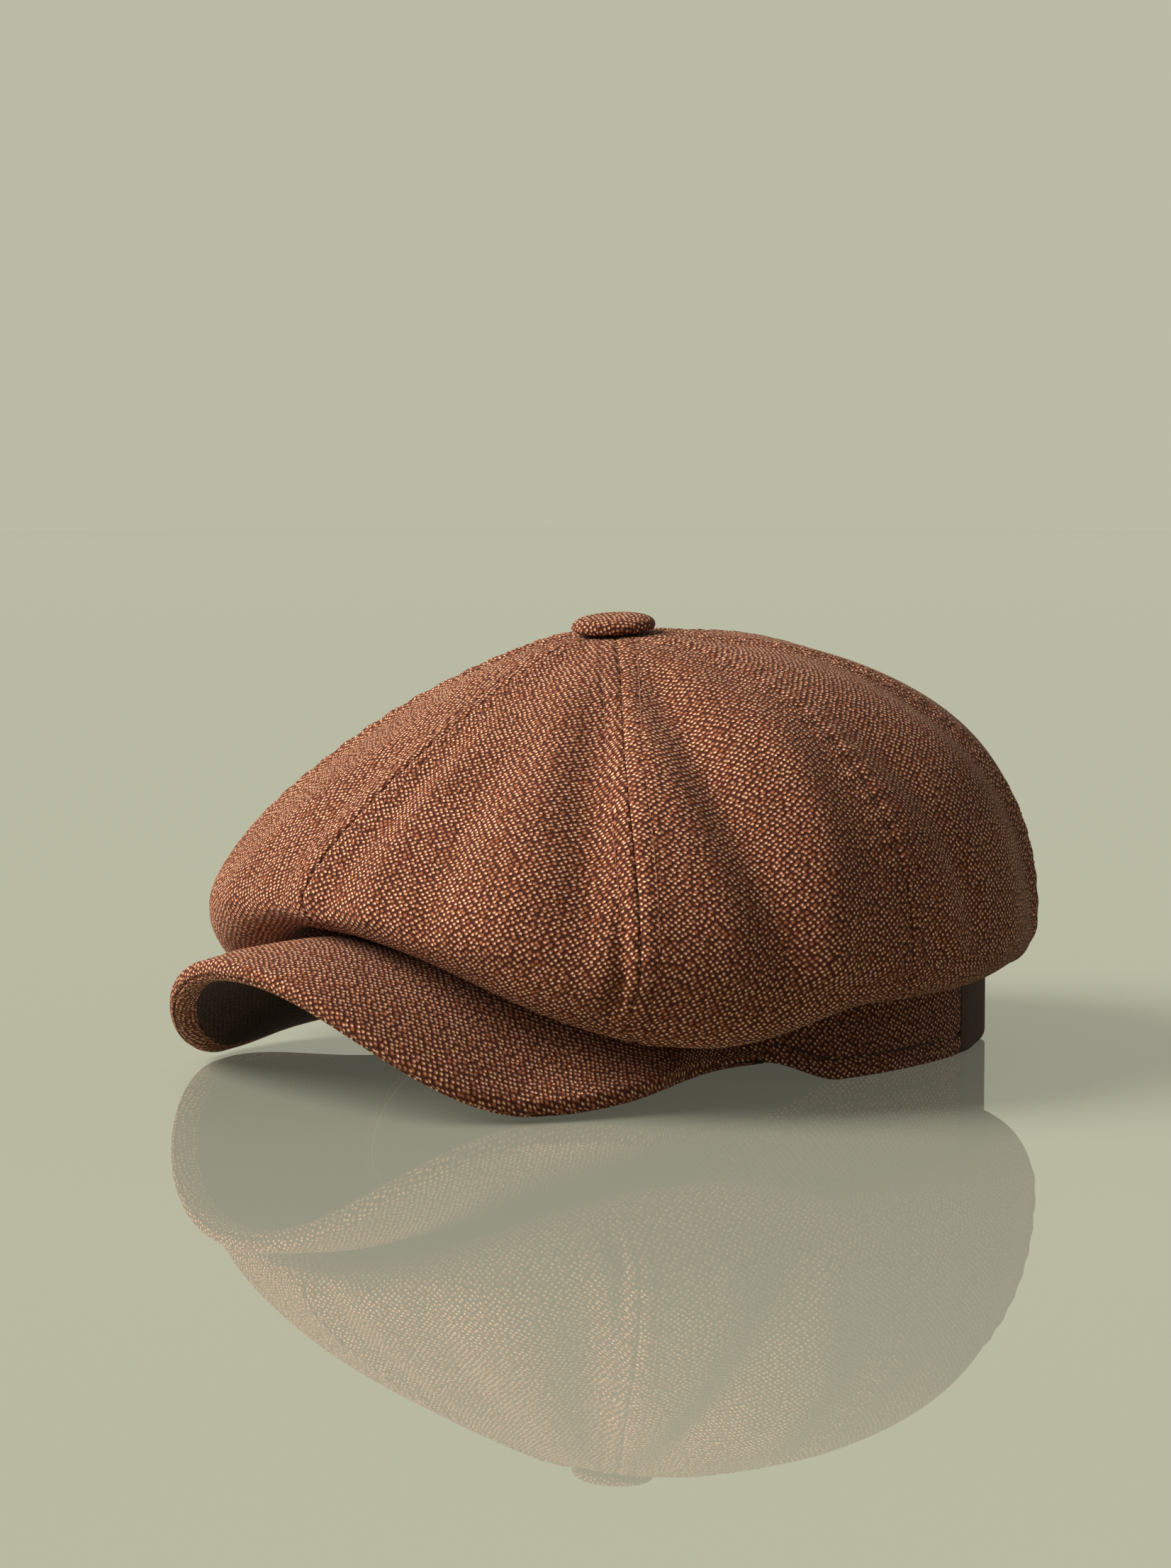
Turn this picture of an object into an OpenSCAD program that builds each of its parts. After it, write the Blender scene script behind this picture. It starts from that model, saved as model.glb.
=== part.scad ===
// Eight-piece newsboy cap: a full soft crown that droops over a shaped headband, a stiff arched
// peak, a covered button, an elastic at the back, and a lining and sweatband inside.
// The wearer faces -Y and the wearer's left is +X. Z = 0 is the surface that the cap rests on,
// and the origin is the centre of the head opening.

/* [Headband] */
// Half the width of the band's outer face, ear to ear
band_half_width = 86; // [82:0.5:90]
// Half the length of the band's outer face, front to back
band_half_length = 112; // [106:0.5:114]
// Height of the band, from its lower edge to the crown seam
band_height = 36; // [32:1:40]
// How far the band's lower edge arches up at the middle of the front
front_arch = 38; // [30:1:40]
// How far the elastic's lower edge rises at the middle of the back
back_rise = 6; // [0:1:10]
// Thickness of the band's cloth
band_cloth = 1.8; // [1.2:0.1:2.4]
// Thickness of the stiffening canvas behind it
canvas_thickness = 1.0; // [0.6:0.1:1.4]
// Thickness of the sweatband
sweatband_thickness = 1.2; // [0.8:0.1:1.6]

/* [Crown] */
// Height of the crown at the button
crown_height = 137; // [130:1:146]
// How far the button's axis stands in front of the origin
crown_lead = 28; // [24:1:32]
// Reach of the crown in front of the button's axis
crown_front_reach = 125; // [120:1:130]
// Reach of the crown to each side
crown_side_reach = 131; // [127:1:138]
// Reach of the crown behind the button's axis
crown_back_reach = 146; // [145:1:152]
// Thickness of the crown's cloth
crown_cloth = 2.0; // [1.2:0.1:2.4]
// Height of the crown's lowest roll over the middle of the peak
crown_brow = 51; // [50:1:54]
// How far the roll hangs below that over the ears
crown_droop = 31; // [26:1:33]
// How far the lowest roll turns under, from the widest line inwards
roll_depth = 14; // [10:1:16]

/* [Peak] */
// How far the peak's edge stands in front of the origin
peak_reach = 181; // [170:1:186]
// Half the width of the peak
peak_half_width = 94; // [92:1:100]
// Height of the underside of the peak's edge, at the middle
peak_lift = 37; // [28:1:39]
// How strongly the peak is crowned between the band and its edge
peak_crowning = 14; // [0:1:18]
// Thickness of the covered peak
peak_thickness = 7; // [6:0.5:7.5]
// Thickness of the peak's cloth on each side of the board
peak_cloth = 1.5; // [1.0:0.1:1.8]
// Width of the edge that the upper cloth wraps round and under
peak_hem = 7; // [6:0.5:9]

/* [Button] */
// Diameter of the covered button
button_diameter = 27; // [22:1:30]
// Height of the covered button
button_height = 5.5; // [5:0.5:8]
// How deep the button pulls the crown in
button_dimple = 1; // [0:0.5:3]

/* [Hidden] */

tweed = "#7a4a36";
tweed_shade = "#5c372a";
satin = "#4a2c22";
cotton = "#8a6a50";

// Directions of the eight crown seams about the button's axis, from the front towards +X
seams = [0, 52, 94, 138, 180, 222, 266, 308, 360];
steps = 8;              // columns of facets across one crown panel
peak_column = 14;       // the peak's ends lie on this column, counted from the front
gap = 0.1;              // clearance between layers that lie on each other
lap = 3;                // depth of the crown seam's lap over the band's top
shank_radius = 1.6;
shank_hole = 2.2;
lining_thickness = 0.8;
lining_drop = 10;        // from the crown's top to the lining's
round_steps = 64;

function smooth(x, a, b) = let (u = min(max((x - a) / (b - a), 0), 1)) u * u * (3 - 2 * u);
function mix(a, b, t) = a + (b - a) * t;
function unit(v) = v / norm(v);

// Directions of the columns between two seams, or all the way round
function spread(from, to, count) = [for (i = [0:count]) mix(from, to, i / count)];
function panel_columns(i) = spread(seams[i], seams[i + 1], steps);
function column(i) = mix(seams[floor(i / steps)], seams[floor(i / steps) + 1], (i % steps) / steps);
ring_columns = [for (i = [0:8 * steps - 1]) column(i)];

// A direction's angle away from the front, whichever side it lies on
function off_front(psi) = psi > 180 ? 360 - psi : abs(psi);

// A point at a radius and a height, seen from the button's axis
function place(psi, r, z) = [r * sin(psi), -crown_lead - r * cos(psi), z];

// Distance from the button's axis to the band's outer ellipse
function band_radius(psi) =
    let (
        s = sin(psi) / band_half_width,
        c = cos(psi) / band_half_length,
        y = crown_lead / band_half_length,
        a = s * s + c * c,
        b = c * y
    )
    (-b + sqrt(b * b - a * (y * y - 1))) / a;

// Angle on the band's own ellipse that this direction meets, from the front
function band_angle(psi) =
    let (p = place(psi, band_radius(psi), 0))
    abs(atan2(p[0] / band_half_width, -p[1] / band_half_length));

// Lower edge of the band: arched over the forehead, flat at the sides, raised at the back
peak_angle = band_angle(column(peak_column));
function band_bottom(psi) =
    let (
        t = band_angle(psi),
        arch = (front_arch - 8) * pow(max(cos(min(t / peak_angle, 1) * 90), 0), 1.3),
        step = 8 * (1 - smooth(t, peak_angle, peak_angle + 16))
    )
    arch + step + back_rise * smooth(t, 124, 172);
function band_top(psi) =
    max(band_bottom(psi) - back_rise * smooth(band_angle(psi), 124, 172), 0) + band_height;

// Reach of the crown at its widest, as two rounded quadrants that meet at the sides
function widest(psi) =
    let (
        front = cos(psi) > 0,
        n = front ? 2.2 : 1.9,
        end = front ? crown_front_reach : crown_back_reach
    )
    pow(pow(abs(sin(psi)) / crown_side_reach, n) + pow(abs(cos(psi)) / end, n), -1 / n);
function widest_height(psi) =
    43 + 16 * pow(max(cos(psi), 0), 4) + 4 * pow(max(-cos(psi), 0), 2);

// Height of the crown's lowest roll: high over the peak, down over the ears and up again behind.
function roll_height(psi) =
    let (a = off_front(psi))
    crown_brow - crown_droop * smooth(a, 0, 65) + 10 * smooth(a, 64, 90);
function roll_width(psi) = min(roll_depth, 0.5 * (widest(psi) - band_radius(psi)));

// One meridian of the crown as radius and height. From 0 to 1 it is a cubic curve from the
// button to the widest line, from 1 to 2 a quarter ellipse that turns under, and from 2 to 3 a
// quadratic curve back up to the band's top.
function meridian(psi, t) =
    let (
        r = widest(psi),
        z = widest_height(psi),
        low = roll_height(psi),
        width = roll_width(psi),
        seam_r = band_radius(psi) + gap,
        seam_z = band_top(psi) - lap,
        front = 1 - smooth(off_front(psi), 10, psi > 180 ? 170 : 130),
        u = min(t, 1),
        v = min(max(t - 1, 0), 1) * 90,
        w = max(t - 2, 0),
        shoulder = mix(0.6, 0.3, front),
        side = mix(0.7, 0.24, front)
    )
    t <= 1 ? let (out = 3 * u * (1 - u) ^ 2 * shoulder * r + 3 * u ^ 2 * (1 - u) * r + u ^ 3 * r) [
        max(out, shank_hole),
        mix(z, crown_height, (1 - u) ^ 3 + 3 * u * (1 - u) ^ 2 + 3 * u ^ 2 * (1 - u) * side)
            - button_dimple * exp(-pow(out / button_diameter * 2, 2))
    ] :
    t <= 2 ? [r - width * (1 - cos(v)), z - (z - low) * sin(v)] :
    [
        (1 - w) ^ 2 * (r - width) + 2 * w * (1 - w) * mix(r - width, seam_r, 0.5) + w ^ 2 * seam_r,
        (1 - w) ^ 2 * low + 2 * w * (1 - w) * low + w ^ 2 * seam_z
    ];

// The same meridian moved inwards by the cloth's thickness, square to the curve
function meridian_inside(psi, t, depth) =
    let (
        p = meridian(psi, t),
        d = unit(meridian(psi, min(t + 0.01, 3)) - meridian(psi, max(t - 0.01, 0.02)))
    )
    t == 0 ? [shank_hole, p[1] - depth] :
    t == 3 ? [p[0], p[1] + depth] :
    [max(p[0] + depth * d[1], shank_hole), p[1] - depth * d[0]];
meridian_steps = [0, 0.1, 0.2, 0.32, 0.45, 0.6, 0.8, 1, 1.3, 1.6, 2, 2.3, 2.65, 3];

// One meridian of the lining: a cubic curve from under the button to the sweatband's top
function lining_meridian(psi, u, depth) =
    let (
        base = band_top(psi) + gap,
        top = crown_height - lining_drop,
        r = band_radius(psi) - band_cloth - canvas_thickness - 3 * gap,
        bulge = 6
    )
    [
        max(3 * u * (1 - u) ^ 2 * 0.45 * r + 3 * u ^ 2 * (1 - u) * (r + bulge) + u ^ 3 * r
            - depth * smooth(u, 0.1, 0.6), shank_hole),
        mix(base, top, (1 - u) ^ 3 + 3 * u * (1 - u) ^ 2 + 3 * u ^ 2 * (1 - u) * 0.45)
            - depth * (1 - smooth(u, 0.5, 1))
    ];
lining_steps = spread(0, 1, 9);

// Edge of the peak, from its right end at -1 round the front to its left end at 1
function peak_edge(s) =
    let (
        a = s * 90,
        end = place(column(peak_column), band_radius(column(peak_column)), 0),
        tuck = smooth(abs(s), 0.75, 1),
        width = peak_half_width * (1 - tuck * (1 - abs(end[0]) / peak_half_width)),
        back = end[1] - 6,
        lobe = 0.6
    )
    [
        width * sign(sin(a)) * pow(abs(sin(a)), 0.87),
        back - (peak_reach + back) * pow(abs(cos(a)), 0.87),
        peak_lift * pow(max(cos(min(abs(s) / lobe, 1) * 90), 0), 1.65)
            + 8 * smooth(abs(s), lobe + 0.04, 1)
    ];

// The peak's columns follow the crown's, so that its seam meets the band's facets
function peak_share(i) =
    sign(i) * band_angle(column(abs(i))) / peak_angle;
function peak_seam(i) =
    let (psi = column(abs(i)), p = place(psi, band_radius(psi) + gap, band_bottom(psi)))
    [sign(i) * abs(p[0]), p[1], p[2]];

// A point of the peak's underside, from the band at 0 to the edge at 1, slightly crowned
function peak_under(i, w) =
    let (crowning = peak_crowning * w * (1 - w) * (1 - abs(peak_share(i))))
    mix(peak_seam(i), peak_edge(peak_share(i)), w) + [0, 0, crowning];
function peak_up(i, w) =
    let (
        along = peak_under(min(i + 1, peak_column), w) - peak_under(max(i - 1, -peak_column), w),
        out = peak_under(i, min(w + 0.1, 1)) - peak_under(i, max(w - 0.1, 0)),
        n = unit(cross(out, along))
    )
    unit(mix([0, 0, 1], n, min(4 * w, 1) * (1 - smooth(abs(peak_share(i)), 0.8, 0.97))));
function above_floor(p) = [p[0], p[1], max(p[2], 0)];
function peak_taper(i) = 1 - 0.6 * smooth(abs(peak_share(i)), 0.8, 1);
function peak_at(i, w, lift) =
    above_floor(peak_under(i, w) + lift * peak_taper(i) * peak_up(i, w));
function peak_width(i) = norm(peak_edge(peak_share(i)) - peak_seam(i));
function hem_start(i) = 1 - min(peak_hem, 0.5 * peak_width(i)) / peak_width(i);
function round_start(i) = 1 - min(peak_thickness / 2, 0.25 * peak_width(i)) / peak_width(i);

// The rounded edge, as points on a half circle from the top face round to the underside
function peak_round(i, a) =
    let (
        w = round_start(i),
        r = (1 - w) * peak_width(i),
        out = unit(peak_edge(peak_share(i)) - peak_seam(i))
    )
    above_floor(
        peak_under(i, w) + out * r * cos(a)
            + peak_up(i, w) * peak_taper(i) * peak_thickness / 2 * (1 + sin(a))
    );
peak_rows = spread(0, 1, 5);
peak_indices = [for (i = [-peak_column:peak_column]) i];

// Closed shell between two grids of points, each a list of columns that run away from the seam
// or the top. A ring joins its last column to its first.
module shell(outer, inner, ring = false) {
    n = len(outer);
    m = len(outer[0]);
    k = n * m;
    last = ring ? n - 1 : n - 2;
    walls = [
        for (i = [0:last]) for (j = [0:m - 2])
            let (a = i * m + j, b = a + 1, d = ((i + 1) % n) * m + j, c = d + 1)
            each [[a, c, b], [a, d, c], [k + a, k + b, k + c], [k + a, k + c, k + d]]
    ];
    hems = [
        for (i = [0:last]) let (a = i * m, d = ((i + 1) % n) * m, b = a + m - 1, c = d + m - 1)
            each [[a, k + d, d], [a, k + a, k + d], [b, c, k + c], [b, k + c, k + b]]
    ];
    ends = ring ? [] : [
        for (j = [0:m - 2]) let (a = j, b = j + 1, c = k - m + j, d = c + 1)
            each [[a, b, k + b], [a, k + b, k + a], [c, k + d, d], [c, k + c, k + d]]
    ];
    polyhedron(
        [for (grid = [outer, inner]) for (line = grid) each line],
        concat(walls, hems, ends)
    );
}

// Upright wall between two depths inside the band's outer face
module band_wall(columns, near, far, bottom, top, ring = false) {
    shell(
        [for (a = columns) [for (z = [top, bottom]) place(a, band_radius(a) - near, z(a))]],
        [for (a = columns) [for (z = [top, bottom]) place(a, band_radius(a) - far, z(a))]],
        ring
    );
}

module crown_panel(i) {
    columns = panel_columns(i);
    shell(
        [for (a = columns) [for (t = meridian_steps)
            let (p = meridian(a, t)) place(a, p[0], p[1])]],
        [for (a = columns) [for (t = meridian_steps)
            let (p = meridian_inside(a, t, crown_cloth)) place(a, p[0], p[1])]]
    );
}

module crown_front_left() { color(tweed) crown_panel(0); }
module crown_side_front_left() { color(tweed) crown_panel(1); }
module crown_side_rear_left() { color(tweed) crown_panel(2); }
module crown_rear_left() { color(tweed) crown_panel(3); }
module crown_rear_right() { color(tweed) crown_panel(4); }
module crown_side_rear_right() { color(tweed) crown_panel(5); }
module crown_side_front_right() { color(tweed) crown_panel(6); }
module crown_front_right() { color(tweed) crown_panel(7); }

// The band runs from the elastic's one end round the front to its other
front_columns = concat(
    [for (i = [5 * steps:8 * steps - 1]) column(i)],
    [for (i = [0:3 * steps]) column(i)]
);
rear_columns = [for (i = [3 * steps:5 * steps]) column(i)];

module headband() {
    color(tweed_shade)
        band_wall(
            front_columns, 0, band_cloth,
            function(a) band_bottom(a), function(a) band_top(a)
        );
}

module rear_elastic() {
    color("#3a221c")
        band_wall(
            rear_columns, 0, band_cloth,
            function(a) band_bottom(a), function(a) band_top(a)
        );
}

canvas_depth = band_cloth + gap;
module band_canvas() {
    color("#c8bda6")
        band_wall(
            ring_columns, canvas_depth, canvas_depth + canvas_thickness,
            function(a) band_bottom(a) + 1.5, function(a) band_top(a), true
        );
}

sweatband_depth = canvas_depth + canvas_thickness + gap;
module sweatband() {
    color(cotton)
        band_wall(
            ring_columns, sweatband_depth, sweatband_depth + sweatband_thickness,
            function(a) band_bottom(a) + 0.8, function(a) band_top(a), true
        );
}

// Blank folded label on the sweatband at the back
module size_label() {
    depth = sweatband_depth + sweatband_thickness + gap;
    color("#d9d0bf")
        band_wall(
            spread(173, 187, 6), depth, depth + 0.6,
            function(a) band_top(180) - 22, function(a) band_top(180) - 4
        );
}

// The upper cloth covers the board, turns round the edge and ends in a hem below it
module peak_cover() {
    inner_lift = peak_thickness - peak_cloth;
    turns = [60, 30, 0, -30, -60];
    color(tweed)
        shell(
            [for (i = peak_indices) concat(
                [for (w = peak_rows) peak_at(i, w * round_start(i), peak_thickness)],
                [for (a = turns) peak_round(i, a)],
                [peak_at(i, round_start(i), 0), peak_at(i, hem_start(i), 0)]
            )],
            [for (i = peak_indices) concat(
                [for (w = peak_rows) peak_at(i, w * hem_start(i), inner_lift)],
                [for (t = spread(1 / 7, 1, 6)) peak_at(i, hem_start(i), inner_lift * (1 - t))]
            )]
        );
}

// A flat layer of the peak between two lifts, short of the hem
module peak_layer(low, high, inset) {
    rows = spread(0, 1, 5);
    shell(
        [for (i = peak_indices) [for (w = rows)
            peak_at(i, mix(inset, hem_start(i) - 0.3 / peak_width(i), w), high)]],
        [for (i = peak_indices) [for (w = rows)
            peak_at(i, mix(inset, hem_start(i) - 0.3 / peak_width(i), w), low)]]
    );
}

module peak_board() {
    color("#e4e0d4")
        peak_layer(peak_cloth + 2 * gap, peak_thickness - peak_cloth - 2 * gap, 0.02);
}

module peak_under_cover() {
    color(tweed_shade) peak_layer(0, peak_cloth, 0);
}

module lining_gore(first, last) {
    columns = [for (i = [first:2:last]) i < 8 * steps ? column(i) : 360];
    color(satin)
        shell(
            [for (a = columns) [for (u = lining_steps)
                let (p = lining_meridian(a, u, 0)) place(a, p[0], p[1])]],
            [for (a = columns) [for (u = lining_steps)
                let (p = lining_meridian(a, u, lining_thickness)) place(a, p[0], p[1])]]
        );
}

module lining_front_left() { lining_gore(0, 2 * steps); }
module lining_rear_left() { lining_gore(2 * steps, 4 * steps); }
module lining_rear_right() { lining_gore(4 * steps, 6 * steps); }
module lining_front_right() { lining_gore(6 * steps, 8 * steps); }

// Round reinforcing patch under the middle of the lining
module lining_patch() {
    color(satin)
        translate([0, -crown_lead, crown_height - lining_drop - lining_thickness - 2.2])
            cylinder(h = 0.8, r = 11, $fn = round_steps);
}

// The button leans forward a little, as the crown does beneath it
module on_crown() {
    translate([0, -crown_lead, crown_height - button_dimple + 1]) rotate([4, 0, 0]) children();
}

// Outline of a domed disc: a rounded rim below and a flatter crown above
function dome(radius, height) = concat(
    [[0, 0], [0.86 * radius, 0]],
    [for (a = [-60:15:90]) [
        0.86 * radius + 0.14 * radius * cos(min(a, 0)) - 0.86 * radius * (1 - cos(max(a, 0))),
        a < 0 ? 0.3 * height * (1 + sin(a)) : mix(0.3 * height, height, sin(a))
    ]]
);

module button_cover() {
    color(tweed)
        on_crown()
            rotate_extrude($fn = round_steps)
                difference() {
                    polygon(dome(button_diameter / 2, button_height));
                    translate([0, -0.01])
                        polygon(dome(button_diameter / 2 - 1.4, button_height - 1.4));
                }
}

module button_shell() {
    radius = button_diameter / 2 - 1.5;
    height = button_height - 1.5;
    color("#b9b6ad")
        on_crown()
            rotate_extrude($fn = round_steps)
                difference() {
                    polygon(dome(radius, height));
                    translate([0, -0.01])
                        polygon(dome(radius - 0.6, height - 0.6));
                }
}

module button_shank() {
    color("#a9a69d")
        on_crown() {
            translate([0, 0, 0.1])
                cylinder(h = 0.9, r = button_diameter / 2 - 3.2, $fn = round_steps);
            translate([0, 0, -5.4])
                cylinder(h = 5.6, r = shank_radius, $fn = 32);
        }
}

// Clinched washer that holds the button under the crown's eight points
module button_washer() {
    color("#a9a69d")
        translate([0, 0, -1.4])
            on_crown()
                translate([0, 0, -3])
                    difference() {
                        cylinder(h = 0.8, r = 7, $fn = round_steps);
                        translate([0, 0, -1])
                            cylinder(h = 3, r = shank_radius + 0.05, $fn = 32);
                    }
}

crown_front_left();
crown_side_front_left();
crown_side_rear_left();
crown_rear_left();
crown_rear_right();
crown_side_rear_right();
crown_side_front_right();
crown_front_right();
headband();
band_canvas();
rear_elastic();
sweatband();
size_label();
peak_cover();
peak_board();
peak_under_cover();
lining_front_left();
lining_rear_left();
lining_rear_right();
lining_front_right();
lining_patch();
button_cover();
button_shell();
button_shank();
button_washer();
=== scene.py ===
"""Newsboy cap: an add-on that makes the cap's cloth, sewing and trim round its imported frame.

The wearer faces -Y and the wearer's left is +X. Lengths are in metres and angles in radians.
A direction psi is measured about the button's axis, from the front towards +X.
"""

import math
from functools import partial

import bpy
import numpy as np
from mathutils import Matrix, Vector


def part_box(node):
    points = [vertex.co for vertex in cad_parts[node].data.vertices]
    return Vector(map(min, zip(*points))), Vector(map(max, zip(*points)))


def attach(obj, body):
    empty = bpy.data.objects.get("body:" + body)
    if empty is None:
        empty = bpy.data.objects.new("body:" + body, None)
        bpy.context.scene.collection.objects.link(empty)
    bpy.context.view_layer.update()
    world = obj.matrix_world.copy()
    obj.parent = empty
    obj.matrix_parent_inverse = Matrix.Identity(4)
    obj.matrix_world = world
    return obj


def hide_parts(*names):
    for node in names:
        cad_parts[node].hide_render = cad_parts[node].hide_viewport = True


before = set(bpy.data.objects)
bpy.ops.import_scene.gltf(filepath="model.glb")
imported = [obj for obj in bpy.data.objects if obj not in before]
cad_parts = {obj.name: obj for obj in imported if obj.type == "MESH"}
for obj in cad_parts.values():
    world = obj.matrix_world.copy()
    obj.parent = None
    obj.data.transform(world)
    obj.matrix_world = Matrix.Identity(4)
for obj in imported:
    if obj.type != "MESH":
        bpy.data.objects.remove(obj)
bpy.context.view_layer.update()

bl_info = {
    "name": "Newsboy Cap",
    "version": (1, 0, 0),
    "blender": (4, 5, 0),
    "location": "3D View > Sidebar > Cap",
    "description": "Makes an eight-piece tweed cap with its sewing, lining and trim",
    "category": "Add Mesh",
}

MM = 0.001
TURN = 2 * math.pi

# Thicknesses of the folded band and elastic, their turn-up, and the height of the band's
# stitching. Then how deep each inner layer lies behind the band's outer face.
BAND_WALL = 1.7 * MM
ELASTIC_WALL = 1.6 * MM
TURN_UP = 9 * MM
BAND_ROW = 6.5 * MM
CANVAS_DEPTH = 1.95 * MM
LINING_DEPTH = 3.1 * MM
SWEATBAND_DEPTH = 4.1 * MM
LABEL_DEPTH = 4.95 * MM

PANELS = [
    "crown_front_left", "crown_side_front_left", "crown_side_rear_left", "crown_rear_left",
    "crown_rear_right", "crown_side_rear_right", "crown_side_front_right", "crown_front_right",
]
SEAMS = np.radians([0, 52, 94, 138, 180, 222, 266, 308, 360])
ELASTIC = (SEAMS[3], SEAMS[5])
PEAK_END = SEAMS[1] + 0.75 * (SEAMS[2] - SEAMS[1])
LININGS = {
    "lining_front_left": (0, 2), "lining_rear_left": (2, 4),
    "lining_rear_right": (4, 6), "lining_front_right": (6, 8),
}


def linear(hex_colour):
    """Linear red, green, blue of an sRGB hex colour."""
    parts = [int(hex_colour[i:i + 2], 16) / 255 for i in (1, 3, 5)]
    return tuple(c / 12.92 if c <= 0.04045 else ((c + 0.055) / 1.055) ** 2.4 for c in parts)


def length(name, text, default, low=0.0):
    """A length that the user can change, in metres."""
    return bpy.props.FloatProperty(
        name=name, description=text, default=default, min=low, unit="LENGTH", precision=4
    )


def colour(name, text, hex_colour):
    """A colour that the user can change."""
    return bpy.props.FloatVectorProperty(
        name=name, description=text, default=linear(hex_colour), subtype="COLOR",
        size=3, min=0, max=1
    )


def box_of(*nodes):
    """Lowest and highest corners of some of the frame's nodes together."""
    corners = np.array([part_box(n) for n in nodes], dtype=float)
    return corners[:, 0].min(axis=0), corners[:, 1].max(axis=0)


CROWN_LOW, CROWN_HIGH = box_of(*PANELS)
BAND_HIGH = box_of("headband", "rear_elastic")[1]
LEAD = -0.5 * float(sum(corner[1] for corner in box_of("lining_patch")))


class CapShape(bpy.types.PropertyGroup):
    """The cap's form. The overall reaches come from the frame."""

    band_half_width: length("Band half width", "Band's outer face, ear to ear, halved", 0.086)
    band_half_length: length(
        "Band half length", "Band's outer face, front to back, halved", float(BAND_HIGH[1]))
    band_height: length("Band height", "Lower edge to crown seam", 0.036)
    front_arch: length("Front arch", "Rise of the band's lower edge at the front", 0.038)
    back_rise: length("Back rise", "Rise of the elastic's lower edge at the back", 0.006)
    crown_height: length("Crown height", "Height of the crown at the button", 0.137)
    lead: length("Button lead", "Distance of the button in front of the origin", LEAD)
    front_reach: length(
        "Front reach", "Crown in front of the button", float(-CROWN_LOW[1]) - LEAD)
    side_reach: length("Side reach", "Crown beside the button", 0.131)
    back_reach: length("Back reach", "Crown behind the button", float(CROWN_HIGH[1]) + LEAD)
    brow: length("Brow height", "Crown's lowest roll over the peak", 0.051)
    droop: length("Droop", "How much lower the roll hangs over the ears", 0.031)
    roll_depth: length("Roll depth", "How far the lowest roll turns under", 0.014)
    dimple: length("Button dimple", "How deep the button pulls the crown in", 0.001)
    peak_reach: length("Peak reach", "Peak's edge in front of the origin", 0.181)
    peak_half_width: length("Peak half width", "Half the width of the peak", 0.094)
    peak_lift: length("Peak lift", "Underside of the peak's edge at the middle", 0.037)
    peak_crowning: length("Peak crowning", "Strength of the peak's crowning", 0.014)
    peak_thickness: length("Peak thickness", "Covered thickness of the peak", 0.007)
    peak_hem: length("Peak hem", "Width of the cloth turned under the edge", 0.007)
    lining_drop: length("Lining drop", "Lining's top below the crown's", 0.010)


class CapSewing(bpy.types.PropertyGroup):
    """Cloth and thread."""

    cloth: length("Cloth", "Thickness of the tweed", 0.0015)
    seam_groove: length("Seam groove", "Depth of the groove at a crown seam", 0.00035)
    stitch_gap: length("Stitch gap", "Distance of a topstitch row from its seam", 0.0056)
    stitch_pitch: length("Stitch pitch", "Distance between stitches", 0.0034)
    thread: length("Thread", "Radius of the sewing thread", 0.00026)
    fold: bpy.props.FloatProperty(
        name="Folds", description="Strength of the crown's soft folds", default=1.0, min=0, max=2
    )


class CapColours(bpy.types.PropertyGroup):
    """Yarn, trim and studio colours."""

    fleck: colour("Fleck", "Light yarn of the tweed", "#ffd6b0")
    fleck_dim: colour("Dim fleck", "Light yarn where it lies deeper", "#a05c39")
    ground: colour("Ground", "Dark yarn of the tweed", "#5a2a19")
    ground_dark: colour("Deep ground", "Dark yarn between the floats", "#2c1109")
    thread: colour("Thread", "Sewing thread", "#7a4a33")
    tacking: colour("Dark thread", "Thread of the band and of the elastic's ends", "#1d120d")
    elastic: colour("Elastic", "Ribbed elastic", "#43251b")
    sweatband: colour("Sweatband", "Cotton sweatband", "#5b3d2c")
    lining: colour("Lining", "Satin lining", "#4a2a20")
    label: colour("Label", "Blank woven label", "#d6cbb8")
    board: colour("Board", "Sheet inside the peak", "#dcd6c8")
    canvas: colour("Canvas", "Stiffening canvas", "#c9bda3")
    metal: colour("Metal", "Button fittings", "#b2aea4")
    studio: colour("Studio", "Floor and backdrop", "#bbbca6")


def smooth(x, low, high):
    """Smoothstep: 0 below low, 1 above high, and 3u^2 - 2u^3 between them."""
    u = np.clip((x - low) / (high - low), 0.0, 1.0)
    return u * u * (3 - 2 * u)


def bell(x, width):
    """Gaussian bump: exp of minus (x / width) squared."""
    return np.exp(-((x / width) ** 2))


def off_front(psi):
    """Angle away from the front, 0 to pi, on whichever side."""
    turned = np.mod(psi, TURN)
    return np.minimum(turned, TURN - turned)


def place(psi, r, z, s):
    """Point at radius r and height z: (r sin psi, -lead - r cos psi, z)."""
    psi, r, z = np.broadcast_arrays(psi, r, z)
    return np.stack([r * np.sin(psi), -s.lead - r * np.cos(psi), z], axis=-1)


def band_radius(psi, s):
    """Distance from the button's axis to the band's ellipse: the positive root of a quadratic."""
    across = np.sin(psi) / s.band_half_width
    along = np.cos(psi) / s.band_half_length
    shift = s.lead / s.band_half_length
    a = across ** 2 + along ** 2
    b = along * shift
    return (-b + np.sqrt(b * b - a * (shift ** 2 - 1))) / a


def band_angle(psi, s):
    """Angle on the band's own ellipse that the direction meets, from the front, unsigned."""
    p = place(psi, band_radius(psi, s), 0.0, s)
    return np.abs(np.arctan2(p[..., 0] / s.band_half_width, -p[..., 1] / s.band_half_length))


def back_lift(psi, s):
    """Rise of the elastic's lower edge towards the back: a smoothstep of the band's angle."""
    return s.back_rise * smooth(band_angle(psi, s), math.radians(124), math.radians(172))


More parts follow.
